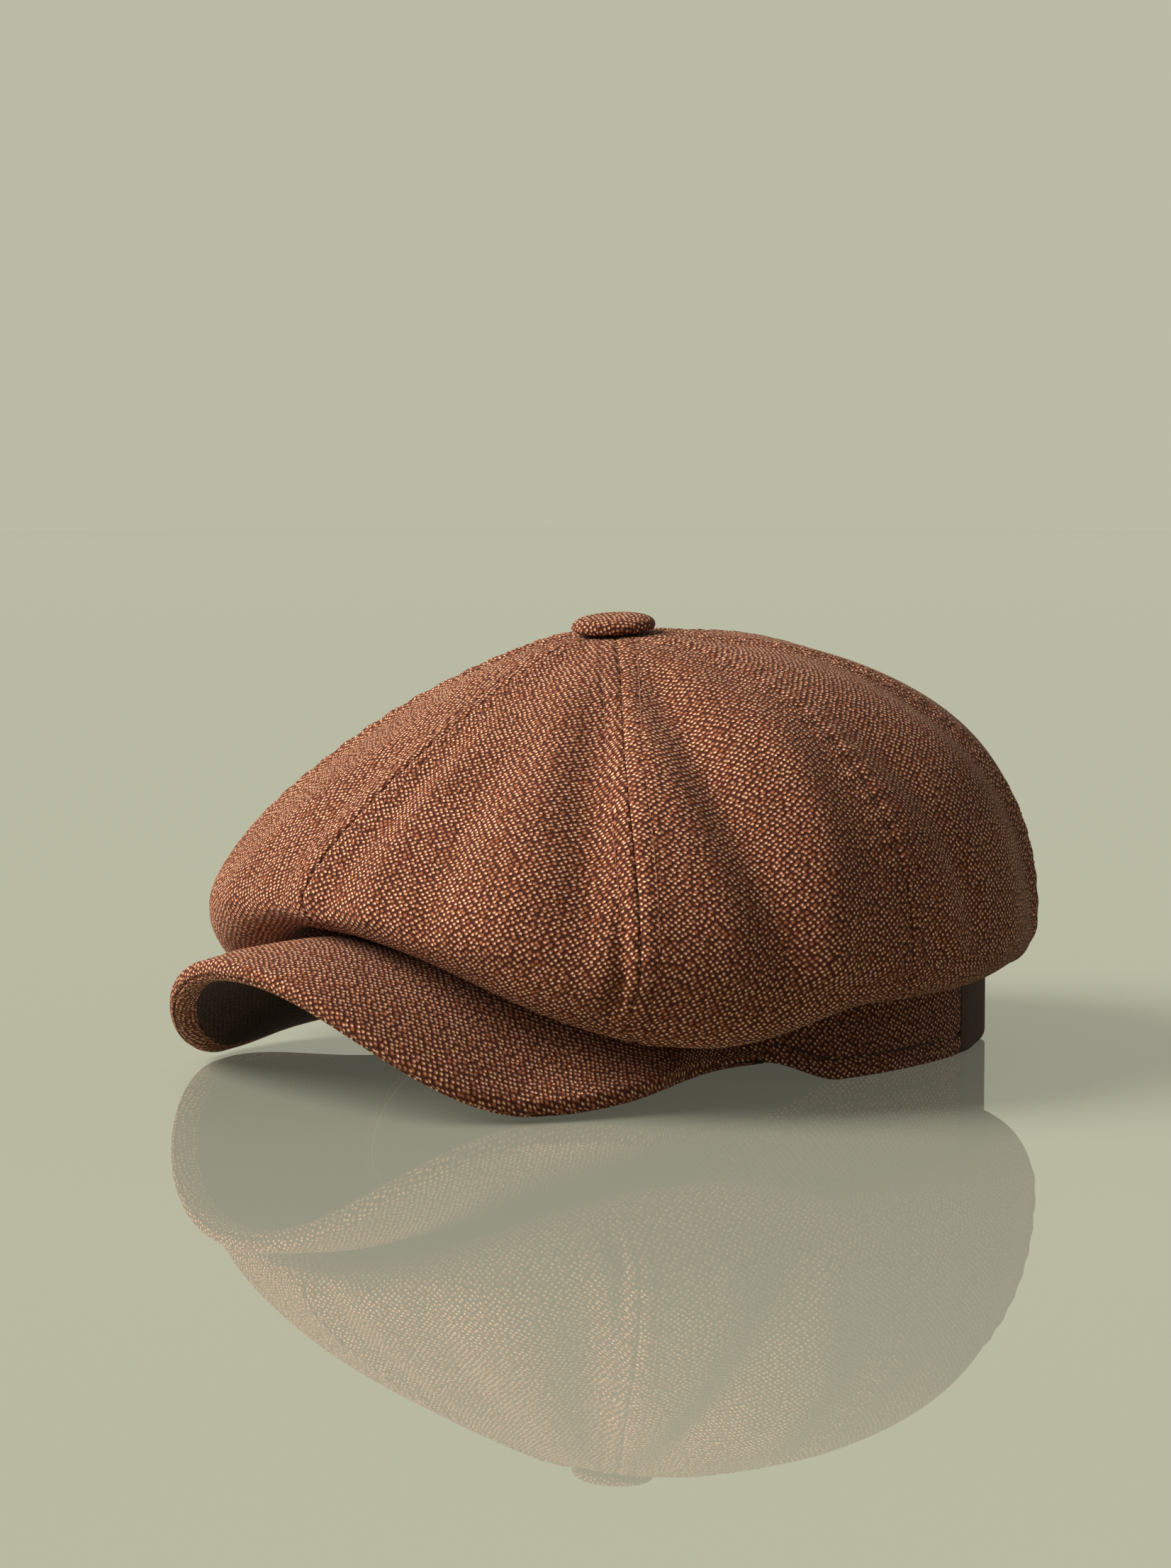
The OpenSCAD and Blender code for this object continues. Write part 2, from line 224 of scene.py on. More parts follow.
def band_bottom(psi, s):
    """Lower edge of the band: a cosine arch in front, flat at the sides, raised at the back."""
    t = band_angle(psi, s)
    end = band_angle(np.array(PEAK_END), s)
    step = 8 * MM
    arch = (s.front_arch - step) * np.cos(np.minimum(t / end, 1) * math.pi / 2).clip(0) ** 1.3
    return arch + step * (1 - smooth(t, end, end + math.radians(16))) + back_lift(psi, s)


def band_top(psi, s):
    """Upper edge of the band, one band height above its lower edge."""
    return (band_bottom(psi, s) - back_lift(psi, s)).clip(0) + s.band_height


def widest(psi, s):
    """Reach of the crown: superellipse quadrants of exponent 2.2 in front and 1.9 behind."""
    front = np.cos(psi) > 0
    n = np.where(front, 2.2, 1.9)
    end = np.where(front, s.front_reach, s.back_reach)
    total = (np.abs(np.sin(psi)) / s.side_reach) ** n + (np.abs(np.cos(psi)) / end) ** n
    return total ** (-1 / n)


def roll_height(psi, s):
    """Height of the lowest roll: brow height less a smoothstep droop, lifted behind the ears."""
    a = off_front(psi)
    behind = 10 * MM * smooth(a, math.radians(64), math.radians(90))
    return s.brow - s.droop * smooth(a, 0.0, math.radians(65)) + behind


def meridian(psi, t, s):
    """Radius and height on one meridian of the crown.

    From t = 0 to 1 a cubic Bezier from the button to the widest line, from 1 to 2 a quarter
    ellipse that turns under, and from 2 to 3 a quadratic Bezier up to the band's top.
    """
    psi, t = np.broadcast_arrays(np.asarray(psi, float), np.asarray(t, float))
    wide = widest(psi, s)
    c = np.cos(psi)
    z_wide = (43 + 16 * c.clip(0) ** 4 + 4 * (-c).clip(0) ** 2) * MM
    low = roll_height(psi, s)
    seam_r = band_radius(psi, s) + 0.1 * MM
    seam_z = band_top(psi, s) - 3 * MM
    depth = np.minimum(s.roll_depth, 0.5 * (wide - band_radius(psi, s)))
    level = np.where(np.mod(psi, TURN) > math.pi, math.radians(170), math.radians(130))
    front = 1 - smooth(off_front(psi), math.radians(10), level)
    shoulder = 0.6 + (0.3 - 0.6) * front
    side = 0.7 + (0.24 - 0.7) * front

    u = t.clip(0, 1)
    out = (3 * u * (1 - u) ** 2 * shoulder + 3 * u ** 2 * (1 - u) + u ** 3) * wide
    rise = (1 - u) ** 3 + 3 * u * (1 - u) ** 2 + 3 * u ** 2 * (1 - u) * side
    top_z = z_wide + rise * (s.crown_height - z_wide) - s.dimple * bell(out, 13.5 * MM)

    v = (t - 1).clip(0, 1) * math.pi / 2
    roll_r = wide - depth * (1 - np.cos(v))
    roll_z = z_wide - (z_wide - low) * np.sin(v)

    w = (t - 2).clip(0, 1)
    inner = wide - depth
    under_r = (1 - w) ** 2 * inner + w * (1 - w) * (inner + seam_r) + w ** 2 * seam_r
    under_z = (1 - w ** 2) * low + w ** 2 * seam_z

    r = np.where(t <= 1, out, np.where(t <= 2, roll_r, under_r))
    z = np.where(t <= 1, top_z, np.where(t <= 2, roll_z, under_z))
    return r, z


def travelled(*coordinates):
    """Distance from the start along the last axis: the summed lengths of the steps."""
    steps = np.sqrt(sum(np.diff(c, axis=-1) ** 2 for c in coordinates))
    first = np.zeros((*steps.shape[:-1], 1))
    return np.concatenate([first, np.cumsum(steps, axis=-1)], axis=-1)


def unit(v):
    """Vectors divided by their own length."""
    return v / np.maximum(np.linalg.norm(v, axis=-1, keepdims=True), 1e-12)


def normals(surface, a, b, step_a=2e-3, step_b=2e-3):
    """Unit normals of a surface of two parameters, by central differences."""
    along = surface(a + step_a, b) - surface(a - step_a, b)
    down = surface(a, b + step_b) - surface(a, b - step_b)
    return unit(np.cross(down, along))


# Soft folds of the crown: direction and meridian step of each end, width and depth in
# millimetres. A positive depth is a valley and a negative one a ridge.
FOLDS = [
    ((47, 0.22), (45, 0.95), 9, 4.2),
    ((37, 0.30), (33, 1.05), 11, -2.0),
    ((49.5, 0.80), (49.5, 1.40), 3.2, 2.6),
    ((64, 0.20), (67, 0.62), 8, 4.4),
    ((66, 0.55), (74, 1.10), 9, 4.6),
    ((83, 0.40), (80, 1.08), 11, -3.8),
    ((88, 0.85), (90, 1.15), 9, -1.8),
    ((24, 0.55), (22, 1.05), 7, 2.2),
    ((8, 0.45), (4, 1.10), 6, 1.8),
    ((14, 0.50), (12, 1.15), 6, -1.6),
    ((102, 0.50), (110, 1.05), 8, 3.0),
    ((97, 0.95), (112, 1.22), 5, 2.0),
    ((118, 0.55), (122, 1.10), 12, -2.0),
    ((54, 1.22), (98, 1.28), 4, 0.9),
    ((130, 0.40), (133, 1.00), 9, 2.4),
    ((160, 0.45), (156, 1.10), 11, 2.2),
    ((172, 0.60), (170, 1.20), 9, -1.8),
    ((196, 0.50), (203, 1.10), 10, 2.2),
    ((231, 0.40), (226, 1.05), 9, 2.4),
    ((246, 0.55), (252, 1.15), 12, -2.0),
    ((275, 0.45), (281, 1.05), 9, 2.6),
    ((300, 0.35), (297, 0.95), 9, 2.6),
    ((318, 0.45), (322, 1.05), 9, 2.2),
    ((340, 0.55), (338, 1.10), 10, -1.8),
    ((351, 0.50), (354, 1.05), 7, 1.6),
]


def folds(psi, t, r):
    """Sum of folds: each is a bell across its line, faded by smoothsteps at both ends."""
    height = np.zeros(np.broadcast(psi, t, r).shape)
    climb = 95 * MM
    turned = np.mod(psi, TURN)
    for (psi_a, t_a), (psi_b, t_b), width, depth in FOLDS:
        mid = math.radians(0.5 * (psi_a + psi_b))
        x = (np.mod(turned - mid + math.pi, TURN) - math.pi) * np.maximum(r, 20 * MM)
        span = math.radians(psi_b - psi_a) * r
        share = (t - t_a) / (t_b - t_a)
        across_t = abs(t_b - t_a) * climb
        if abs(psi_b - psi_a) > 30:
            share = x / np.maximum(span, 1e-6) + 0.5
            distance = (t - t_a - (t_b - t_a) * share) * 30 * MM
        else:
            distance = (x - span * (share - 0.5)) * across_t / np.hypot(across_t, span)
        fade = smooth(share, -0.25, 0.3) * (1 - smooth(share, 0.7, 1.25))
        core = bell(distance, width * MM) - 0.35 * bell(distance, 2.4 * width * MM)
        height -= depth * MM * fade * core
    return height


def seam_relief(psi, arc, r, sewing):
    """Groove at the nearest seam, the pressed allowance beside it, and the dents of its stitches."""
    gap = np.abs(np.mod(psi[..., None] - SEAMS[:-1] + math.pi, TURN) - math.pi).min(axis=-1)
    d = gap * r
    away = smooth(r, 9 * MM, 22 * MM)
    groove = -sewing.seam_groove * bell(d, 1.1 * MM)
    allowance = 0.38 * MM * (smooth(d, 0, 1.6 * MM) - smooth(d, sewing.stitch_gap, 10 * MM))
    row = bell(d - sewing.stitch_gap, 0.8 * MM)
    beat = 0.7 + 0.3 * np.cos(TURN * arc / sewing.stitch_pitch)
    pucker = np.sin(TURN * arc / (8.5 * MM) + 2.0 * np.sin(arc / (23 * MM)) + 5 * psi)
    return (groove + allowance * away - 0.7 * MM * row * beat * away
            + 0.28 * MM * pucker * bell(d, 7 * MM) * away)


def relief(psi, t, arc, r, sewing):
    """Height of the finished crown above its smooth form."""
    wave = (
        np.sin(3 * psi + 34 * arc + 0.6) * np.sin(52 * arc + 1.3 + 2 * np.sin(psi))
        + 0.6 * np.sin(11 * psi - 47 * arc + 2.1)
    )
    inside = 1 - smooth(t, 2.2, 2.8)
    top = smooth(r, 12 * MM, 40 * MM)
    soft = sewing.fold * folds(psi, t, r) + 0.45 * MM * wave
    return seam_relief(psi, arc, r, sewing) * (1 - 0.6 * smooth(t, 2.5, 3)) + soft * inside * top


def wander(psi, t):
    """Small sideways drift of the crown's cloth, so that its seams aren't ruled lines: a sine."""
    free = smooth(t, 0.1, 0.5) * (1 - smooth(t, 1.7, 2.6))
    return 0.013 * np.sin(5.2 * t + 3 * psi + 0.4) * free


def crown_surface(psi, t, arc, s, sewing):
    """Points of the finished crown: the smooth form moved along its normal by the relief."""
    def form(a, b):
        a = a + wander(a, b)
        r, z = meridian(a, b, s)
        return place(a, r, z, s)

    r, _ = meridian(psi, t, s)
    up = normals(form, psi, t.clip(4e-3, 2.995))
    return form(psi, t) + up * relief(psi, t, arc, r, sewing)[..., None]


def meridian_arc(psi, t, s):
    """Length of cloth from the button down each column."""
    return travelled(*meridian(psi, t, s))


def surface_object(name, points, uv, ring=False):
    """Mesh of quads over a [column, row] grid of points; a ring joins its last column to its first.

    The weave map carries one more column than a ring has, so that it doesn't run backwards.
    """
    n, m = points.shape[:2]
    i, j = np.meshgrid(np.arange(n if ring else n - 1), np.arange(m - 1), indexing="ij")
    i, j = i.ravel(), j.ravel()
    columns = np.stack([i, i, i + 1, i + 1], axis=-1)
    rows = np.stack([j, j + 1, j + 1, j], axis=-1)
    faces = (columns % n) * m + rows
    mesh = bpy.data.meshes.new(name)
    mesh.from_pydata(points.reshape(-1, 3), [], faces.tolist())
    layer = mesh.uv_layers.new(name="weave")
    layer.data.foreach_set("uv", uv.reshape(-1, 2)[(columns * m + rows).ravel()].ravel())
    mesh.shade_smooth()
    piece = bpy.data.objects.new(name, mesh)
    bpy.context.collection.objects.link(piece)
    return piece


def declare_cloth(piece):
    """Work out a piece's cloth size: its flat size is its weave map's span, and its area its mesh's;
    the smaller is taken but not kept.
    """
    mesh = piece.data
    corners = np.empty(3 * len(mesh.vertices))
    mesh.vertices.foreach_get("co", corners)
    loops = np.empty(len(mesh.loops), dtype=int)
    mesh.loops.foreach_get("vertex_index", loops)
    weave = np.empty(2 * len(mesh.loops))
    mesh.uv_layers["weave"].data.foreach_get("uv", weave)
    quads = corners.reshape(-1, 3)[loops.reshape(-1, 4)]
    across, down = quads[:, 2] - quads[:, 0], quads[:, 3] - quads[:, 1]
    area = 0.5 * np.linalg.norm(np.cross(across, down), axis=1).sum()
    span = np.ptp(weave.reshape(-1, 2), axis=0)
    float(min(area, span.prod()))


def finish_piece(piece, material, nodes=(), thickness=0.0):
    """Give a piece its material, its body and the nodes it replaces.

    A piece with a thickness is cloth, and its cloth size is worked out.
    """
    if thickness:
        cloth = piece.modifiers.new("thickness", "SOLIDIFY")
        cloth.thickness = thickness
        cloth.offset = -1
        cloth.use_even_offset = False
    piece.data.materials.clear()
    piece.data.materials.append(material)
    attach(piece, "root")
    if nodes:
        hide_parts(*nodes)
    if thickness:
        declare_cloth(piece)
    return piece


def add_node(material, kind, inputs, **settings):
    """Add one shader node and give back its outputs.

    The settings are the node's properties, and the inputs are values, or sockets to link.
    """
    tree = material.node_tree
    made = tree.nodes.new("ShaderNode" + kind)
    for name, value in settings.items():
        setattr(made, name, value)
    for name, value in inputs.items():
        if isinstance(value, bpy.types.NodeSocket):
            tree.links.new(value, made.inputs[name])
        else:
            made.inputs[name].default_value = value
    return made.outputs


def blank(name):
    """New material with an empty node tree, and add_node bound to it."""
    material = bpy.data.materials.new(name)
    material.use_nodes = True
    material.node_tree.nodes.clear()
    return material, partial(add_node, material)


def stocked(make, name, *choices):
    """The material of this name, made by its own function when it is first asked for."""
    return bpy.data.materials.get(name) or make(name, *choices)


def tone(tint, strength=1.0):
    """A colour made lighter or darker, with full alpha."""
    return (*(min(c * strength, 1) for c in tint), 1.0)


def bands(pitch):
    """Scale of a wave pattern whose bands lie one pitch apart: a tenth of pi over the pitch."""
    return 0.1 * math.pi / pitch


def woven_tweed(name, colours, painted_shade_factor):
    """Wool tweed in a barleycorn weave: light yarn floats as flecks on a diamond lattice, 1.6 mm
    apart, over dark twisted yarn. Wool is matt, with a soft fuzz that catches light at an angle.
    """
    # The last argument darkens the whole tweed evenly: painted shade, for copies of this tweed on
    # pieces that lie in shadow.
    material, add = blank(name)
    pitch = 1.6 * MM
    weave = add("UVMap", {}, uv_map="weave")["UV"]
    drift = add("TexNoise", {"Vector": weave, "Scale": 1 / (14 * MM), "Detail": 2.0})["Color"]
    centred = add("VectorMath", {0: drift, 1: (0.5, 0.5, 0.5)}, operation="SUBTRACT")["Vector"]
    shifted = add(
        "VectorMath", {0: centred, 1: (1.6 * MM, 1.6 * MM, 0), 2: weave},
        operation="MULTIPLY_ADD")["Vector"]
    lattice = add(
        "Mapping", {"Vector": shifted, "Rotation": (0, 0, math.radians(33)),
         "Scale": (1 / pitch, 1.1 / pitch, 1)})["Vector"]
    cells = add(
        "TexVoronoi", {"Vector": lattice, "Scale": 1.0, "Randomness": 0.42},
        voronoi_dimensions="2D")
    yarn = add(
        "TexNoise", {"Vector": weave, "Scale": 1 / (0.6 * MM), "Detail": 2.0,
         "Roughness": 0.6})["Fac"]
    rough_edge = add(
        "Math", {0: yarn, 1: 0.42, 2: cells["Distance"]}, operation="MULTIPLY_ADD")["Value"]
    float_edge = add(
        "MapRange", {"Value": rough_edge, "From Min": 0.73, "From Max": 0.44},
        interpolation_type="SMOOTHSTEP")["Result"]
    float_top = add(
        "MapRange", {"Value": rough_edge, "From Min": 0.52, "From Max": 0.24},
        interpolation_type="SMOOTHSTEP")["Result"]
    chance = add("SeparateColor", {"Color": cells["Color"]})["Red"]
    worn = add(
        "MapRange", {"Value": chance, "From Min": 0.0, "From Max": 0.6},
        interpolation_type="SMOOTHSTEP")["Result"]
    top_share = add("Math", {0: float_top, 1: worn}, operation="MULTIPLY")["Value"]
    lit = add(
        "Mix", {0: top_share, 6: tone(colours.fleck_dim), 7: tone(colours.fleck)},
        data_type="RGBA")[2]
    twist = add(
        "MapRange", {"Value": yarn, "From Min": 0.35, "From Max": 0.65},
        interpolation_type="SMOOTHSTEP")["Result"]
    dark = add(
        "Mix", {0: twist, 6: tone(colours.ground_dark), 7: tone(colours.ground)},
        data_type="RGBA")[2]
    cloth = add("Mix", {0: float_edge, 6: dark, 7: lit}, data_type="RGBA")[2]
    patch = add("TexNoise", {"Vector": weave, "Scale": 1 / (30 * MM), "Detail": 3.0})["Fac"]
    wear = add(
        "MapRange", {"Value": patch, "From Min": 0.3, "From Max": 0.7},
        interpolation_type="SMOOTHSTEP")["Result"]
    # Random wear patches, multiplied by the darkening factor, which is painted shade.
    wear_and_painted_shade = add(
        "Mix", {0: wear, 6: tone((0.86, 0.84, 0.82), painted_shade_factor), 7: tone((1, 1, 1), painted_shade_factor)},
        data_type="RGBA")[2]
    final = add("Mix", {0: 1.0, 6: cloth, 7: wear_and_painted_shade}, data_type="RGBA", blend_type="MULTIPLY")[2]
    raised = add("Math", {0: yarn, 1: 0.5, 2: float_edge}, operation="MULTIPLY_ADD")["Value"]
    bump = add("Bump", {"Height": raised, "Strength": 0.9, "Distance": 0.5 * MM})["Normal"]
    surface = add(
        "BsdfPrincipled", {"Base Color": final, "Roughness": 0.9, "Normal": bump,
         "Specular IOR Level": 0.15, "Sheen Weight": 0.1, "Sheen Roughness": 0.5,
         "Sheen Tint": (1.0, 0.62, 0.45, 1.0)})
    add("OutputMaterial", {"Surface": surface["BSDF"]})
    return material


def spun_thread(name, tint):
    """Spun polyester sewing thread: matt, its twist seen as small changes of tone."""
    material, add = blank(name)
    where = add("TexCoord", {})["Object"]
    twist = add("TexNoise", {"Vector": where, "Scale": 1 / (0.5 * MM)})["Fac"]
    yarn = add("Mix", {0: twist, 6: tone(tint, 0.7), 7: tone(tint, 1.5)}, data_type="RGBA")[2]
    surface = add(
        "BsdfPrincipled", {"Base Color": yarn, "Roughness": 0.7, "Specular IOR Level": 0.3,
         "Sheen Weight": 0.1})
    add("OutputMaterial", {"Surface": surface["BSDF"]})
    return material


def knitted_elastic(name, tint):
    """Ribbed elastic, knitted over rubber: dark yarn ribs 2 mm apart with a faint shine."""
    material, add = blank(name)
    weave = add("UVMap", {}, uv_map="weave")["UV"]
    ribs = add(
        "TexWave", {"Vector": weave, "Scale": bands(2 * MM), "Distortion": 0.4}, wave_type="BANDS",
        bands_direction="X")["Fac"]
    picks = add(
        "TexWave", {"Vector": weave, "Scale": bands(0.8 * MM), "Distortion": 0.6},
        wave_type="BANDS", bands_direction="Y")["Fac"]
    height = add("Math", {0: picks, 1: 0.35, 2: ribs}, operation="MULTIPLY_ADD")["Value"]
    yarn = add("Mix", {0: height, 6: tone(tint, 0.55), 7: tone(tint, 1.6)}, data_type="RGBA")[2]
    bump = add("Bump", {"Height": height, "Strength": 0.6, "Distance": 0.3 * MM})["Normal"]
    surface = add(
        "BsdfPrincipled", {"Base Color": yarn, "Roughness": 0.62, "Normal": bump,
         "Specular IOR Level": 0.2})
    add("OutputMaterial", {"Surface": surface["BSDF"]})
    return material


def twill_cotton(name, tint, line):
    """Cotton twill: fine diagonal ribs on a matt cloth, drawn far enough apart to show."""
    material, add = blank(name)
    weave = add("UVMap", {}, uv_map="weave")["UV"]
    diagonal = add(
        "TexWave", {"Vector": weave, "Scale": bands(line), "Distortion": 0.8, "Detail": 1.0},
        wave_type="BANDS", bands_direction="DIAGONAL")["Fac"]
    yarn = add("Mix", {0: diagonal, 6: tone(tint, 0.72), 7: tone(tint)}, data_type="RGBA")[2]
    patch = add("TexNoise", {"Vector": weave, "Scale": 1 / (18 * MM), "Detail": 4.0})["Fac"]
    wear = add(
        "MapRange", {"Value": patch, "From Min": 0.3, "From Max": 0.75},
        interpolation_type="SMOOTHSTEP")["Result"]
    worn = add("Mix", {0: wear, 6: yarn, 7: tone(tint, 1.25)}, data_type="RGBA")[2]
    bump = add("Bump", {"Height": diagonal, "Strength": 0.5, "Distance": 0.2 * MM})["Normal"]
    surface = add(
        "BsdfPrincipled", {"Base Color": worn, "Roughness": 0.8, "Normal": bump,
         "Specular IOR Level": 0.25, "Sheen Weight": 0.15})
    add("OutputMaterial", {"Surface": surface["BSDF"]})
    return material


def woven_satin(name, tint):
    """Rayon satin: long floats give a smooth soft shine, with a faint crosswise rib."""
    material, add = blank(name)
    weave = add("UVMap", {}, uv_map="weave")["UV"]
    floats = add(
        "TexWave", {"Vector": weave, "Scale": bands(0.7 * MM), "Distortion": 1.2},
        wave_type="BANDS", bands_direction="Y")["Fac"]
    crease = add("TexNoise", {"Vector": weave, "Scale": 1 / (22 * MM), "Detail": 4.0})["Fac"]
    rubbed = add(
        "MapRange", {"Value": crease, "From Min": 0.3, "From Max": 0.7},
        interpolation_type="SMOOTHSTEP")["Result"]
    cloth = add("Mix", {0: rubbed, 6: tone(tint, 0.75), 7: tone(tint)}, data_type="RGBA")[2]
    height = add("Math", {0: crease, 1: 6.0, 2: floats}, operation="MULTIPLY_ADD")["Value"]
    bump = add("Bump", {"Height": height, "Strength": 0.35, "Distance": 0.25 * MM})["Normal"]
    surface = add(
        "BsdfPrincipled", {"Base Color": cloth, "Roughness": 0.36, "Normal": bump,
         "Specular IOR Level": 0.5, "Anisotropic": 0.5, "Sheen Weight": 0.2})
    add("OutputMaterial", {"Surface": surface["BSDF"]})
    return material


def moulded_board(name, tint):
    """Polyethylene sheet, moulded: slightly waxy, with fine flow marks."""
    material, add = blank(name)
    where = add("TexCoord", {})["Object"]
    flow = add("TexNoise", {"Vector": where, "Scale": 1 / (6 * MM), "Detail": 4.0})["Fac"]
    sheet = add("Mix", {0: flow, 6: tone(tint, 0.9), 7: tone(tint)}, data_type="RGBA")[2]
    bump = add("Bump", {"Height": flow, "Strength": 0.2, "Distance": 0.2 * MM})["Normal"]
    surface = add(
        "BsdfPrincipled", {"Base Color": sheet, "Roughness": 0.45, "Normal": bump, "IOR": 1.51})
    add("OutputMaterial", {"Surface": surface["BSDF"]})
    return material


def tumbled_metal(name, tint):
    """Plated steel fittings, stamped and tumbled: soft satin shine with fine dents."""
    material, add = blank(name)
    where = add("TexCoord", {})["Object"]
    dents = add("TexNoise", {"Vector": where, "Scale": 1 / (0.8 * MM), "Detail": 5.0})["Fac"]
    plate = add("Mix", {0: dents, 6: tone(tint, 0.8), 7: tone(tint)}, data_type="RGBA")[2]
    bump = add("Bump", {"Height": dents, "Strength": 0.3, "Distance": 0.05 * MM})["Normal"]
    surface = add(
        "BsdfPrincipled", {"Base Color": plate, "Metallic": 1.0, "Roughness": 0.38, "Normal": bump})
    add("OutputMaterial", {"Surface": surface["BSDF"]})
    return material


def polished_studio(name, tint):
    """Lacquered studio floor: pale glass lit from below under a clear gloss, so shadows stay soft."""
    material, add = blank(name)
    surface = add(
        "BsdfPrincipled", {"Base Color": tone(tint, 0.5), "Roughness": 1.0,
         "Specular IOR Level": 0.0, "Coat Weight": 1.0, "Coat Roughness": 0.0, "Coat IOR": 1.85,
         "Emission Color": tone(tint), "Emission Strength": 0.26})
    add("OutputMaterial", {"Surface": surface["BSDF"]})
    return material


def lit_backdrop(name, tint):
    """Translucent backdrop, lit evenly from behind, so that it meets the floor without a line."""
    material, add = blank(name)
    surface = add(
        "BsdfPrincipled", {"Base Color": (0, 0, 0, 1), "Roughness": 1.0, "Specular IOR Level": 0.0,
         "Emission Color": tone(tint), "Emission Strength": 1.0})
    add("OutputMaterial", {"Surface": surface["BSDF"]})
    return material


def settings():
    """The shape, sewing and colour settings of the scene."""
    scene = bpy.context.scene
    return scene.cap_shape, scene.cap_sewing, scene.cap_colours


def bounded(low, high, count):
    """Evenly spaced values from low to high."""
    return np.linspace(low, high, count)


class CAP_OT_crown(bpy.types.Operator):
    """Make the crown's eight panels, which share their seam lines"""

    bl_idname = "cap.crown"
    bl_label = "Crown panels"

    def execute(self, context):
        shape, sewing, colours = settings()
        tweed = stocked(woven_tweed, "wool_tweed_barleycorn_woven", colours, 1.0)
        t = np.concatenate([
            bounded(0, 1, 105)[1:], bounded(1, 2, 28)[1:], bounded(2, 3, 32)[1:]])
        t = np.concatenate([[0.012], t[t > 0.012]])
        for i, name in enumerate(PANELS):
            psi = bounded(SEAMS[i], SEAMS[i + 1], 92)
            a, b = np.meshgrid(psi, t, indexing="ij")
            arc = meridian_arc(a, b, shape)
            points = crown_surface(a, b, arc, shape, sewing)
            r, _ = meridian(a, b, shape)
            middle = 0.5 * (SEAMS[i] + SEAMS[i + 1])
            uv = np.stack([(a - middle) * r + 0.37 * i, arc + 0.11 * i], axis=-1)
            piece = surface_object(name + "_tweed", points, uv)
            finish_piece(piece, tweed, [name], sewing.cloth)
        return {"FINISHED"}


def stitches(path, up, pitch, long, radius):
    """Stitches laid along a path of points with surface normals.

    Each stitch is a six-sided bar of five rings, whose radius follows the square root of
    1 - (x / half length)^4 and whose ends dip below the surface by a quarter of its length.
    """
    run = travelled(*path.T)
    centres = np.arange(pitch, run[-1] - pitch, pitch)
    along = np.array([-1.0, -0.7, 0.0, 0.7, 1.0]) * long / 2
    around = np.arange(6) * TURN / 6
    at = centres[:, None] + along[None, :]
    spine = np.stack([np.interp(at, run, path[:, k]) for k in range(3)], axis=-1)
    lift = unit(np.stack([np.interp(at, run, up[:, k]) for k in range(3)], axis=-1))
    way = unit(spine[:, -1] - spine[:, 0])[:, None, :]
    side = unit(np.cross(lift, way))
    share = np.abs(along) / (long / 2)
    thick = radius * np.sqrt(np.maximum(1 - share ** 4, 0.12))
    spine = spine + lift * (radius * 0.35 - long * 0.22 * share ** 3)[None, :, None]
    ring = (np.cos(around)[None, None, :, None] * side[:, :, None, :]
            + np.sin(around)[None, None, :, None] * lift[:, :, None, :])
    points = spine[:, :, None, :] + ring * thick[None, :, None, None]
    count, rings, sides = points.shape[:3]
    j, k = np.meshgrid(np.arange(rings - 1), np.arange(sides), indexing="ij")
    j, k = j.ravel(), k.ravel()
    k2 = (k + 1) % sides
    one = np.stack([j * sides + k, j * sides + k2, (j + 1) * sides + k2, (j + 1) * sides + k], 1)
    faces = (one[None] + (np.arange(count) * rings * sides)[:, None, None]).reshape(-1, 4)
    first = np.arange(sides)[::-1]
    last = (rings - 1) * sides + np.arange(sides)
    caps = (np.stack([first, last])[None]
            + (np.arange(count) * rings * sides)[:, None, None]).reshape(-1, sides)
    return points.reshape(-1, 3), faces, caps


def stitch_object(name, rows, material, pitch, radius):
    """One piece from several rows of stitches, each 0.78 of the pitch long."""
    vertices, faces = [], []
    start = 0
    for path, up in rows:
        points, quads, caps = stitches(path, up, pitch, 0.78 * pitch, radius)
        vertices.append(points)
        faces += (quads + start).tolist() + (caps + start).tolist()
        start += len(points)
    mesh = bpy.data.meshes.new(name)
    mesh.from_pydata(np.concatenate(vertices), [], faces)
    mesh.shade_smooth()
    piece = bpy.data.objects.new(name, mesh)
    bpy.context.collection.objects.link(piece)
    return finish_piece(piece, material)


class CAP_OT_crown_stitching(bpy.types.Operator):
    """Sew a topstitch row on each side of every crown seam"""

    bl_idname = "cap.crown_stitching"
    bl_label = "Crown topstitching"

    def execute(self, context):
        shape, sewing, colours = settings()
        t = bounded(0.09, 2.75, 700)
        rows = []
        for seam in SEAMS[:-1]:
            line = np.full_like(t, seam)
            arc = meridian_arc(line[:1, None], t[None, :], shape)[0]
            r, _ = meridian(line, t, shape)
            for side in (-1, 1):
                psi = line + side * sewing.stitch_gap / r
                path = crown_surface(psi, t, arc, shape, sewing)
                away = path - np.array([0, -shape.lead, 0.5 * shape.crown_height])
                onward = np.gradient(path, axis=0)
                sideways = place(psi + 0.01, r, 0, shape) - place(psi, r, 0, shape)
                up = unit(np.cross(onward, sideways))
                up *= np.sign((up * away).sum(axis=1, keepdims=True))
                rows.append((path, up))
        stitch_object(
            "crown_topstitching", rows,
            stocked(spun_thread, "polyester_thread_spun", colours.thread),
            sewing.stitch_pitch, sewing.thread)
        return {"FINISHED"}


def wall(columns, profile, shape):
    """Grid of points on a band wall: profile gives depth inside the outer face and height share."""
    psi = columns[:, None]
    depth, height, lift = (np.asarray(v, float)[None, :] for v in profile)
    r = band_radius(psi, shape) - depth
    low, high = band_bottom(psi, shape), band_top(psi, shape)
    return r, low + (high - low) * height + lift


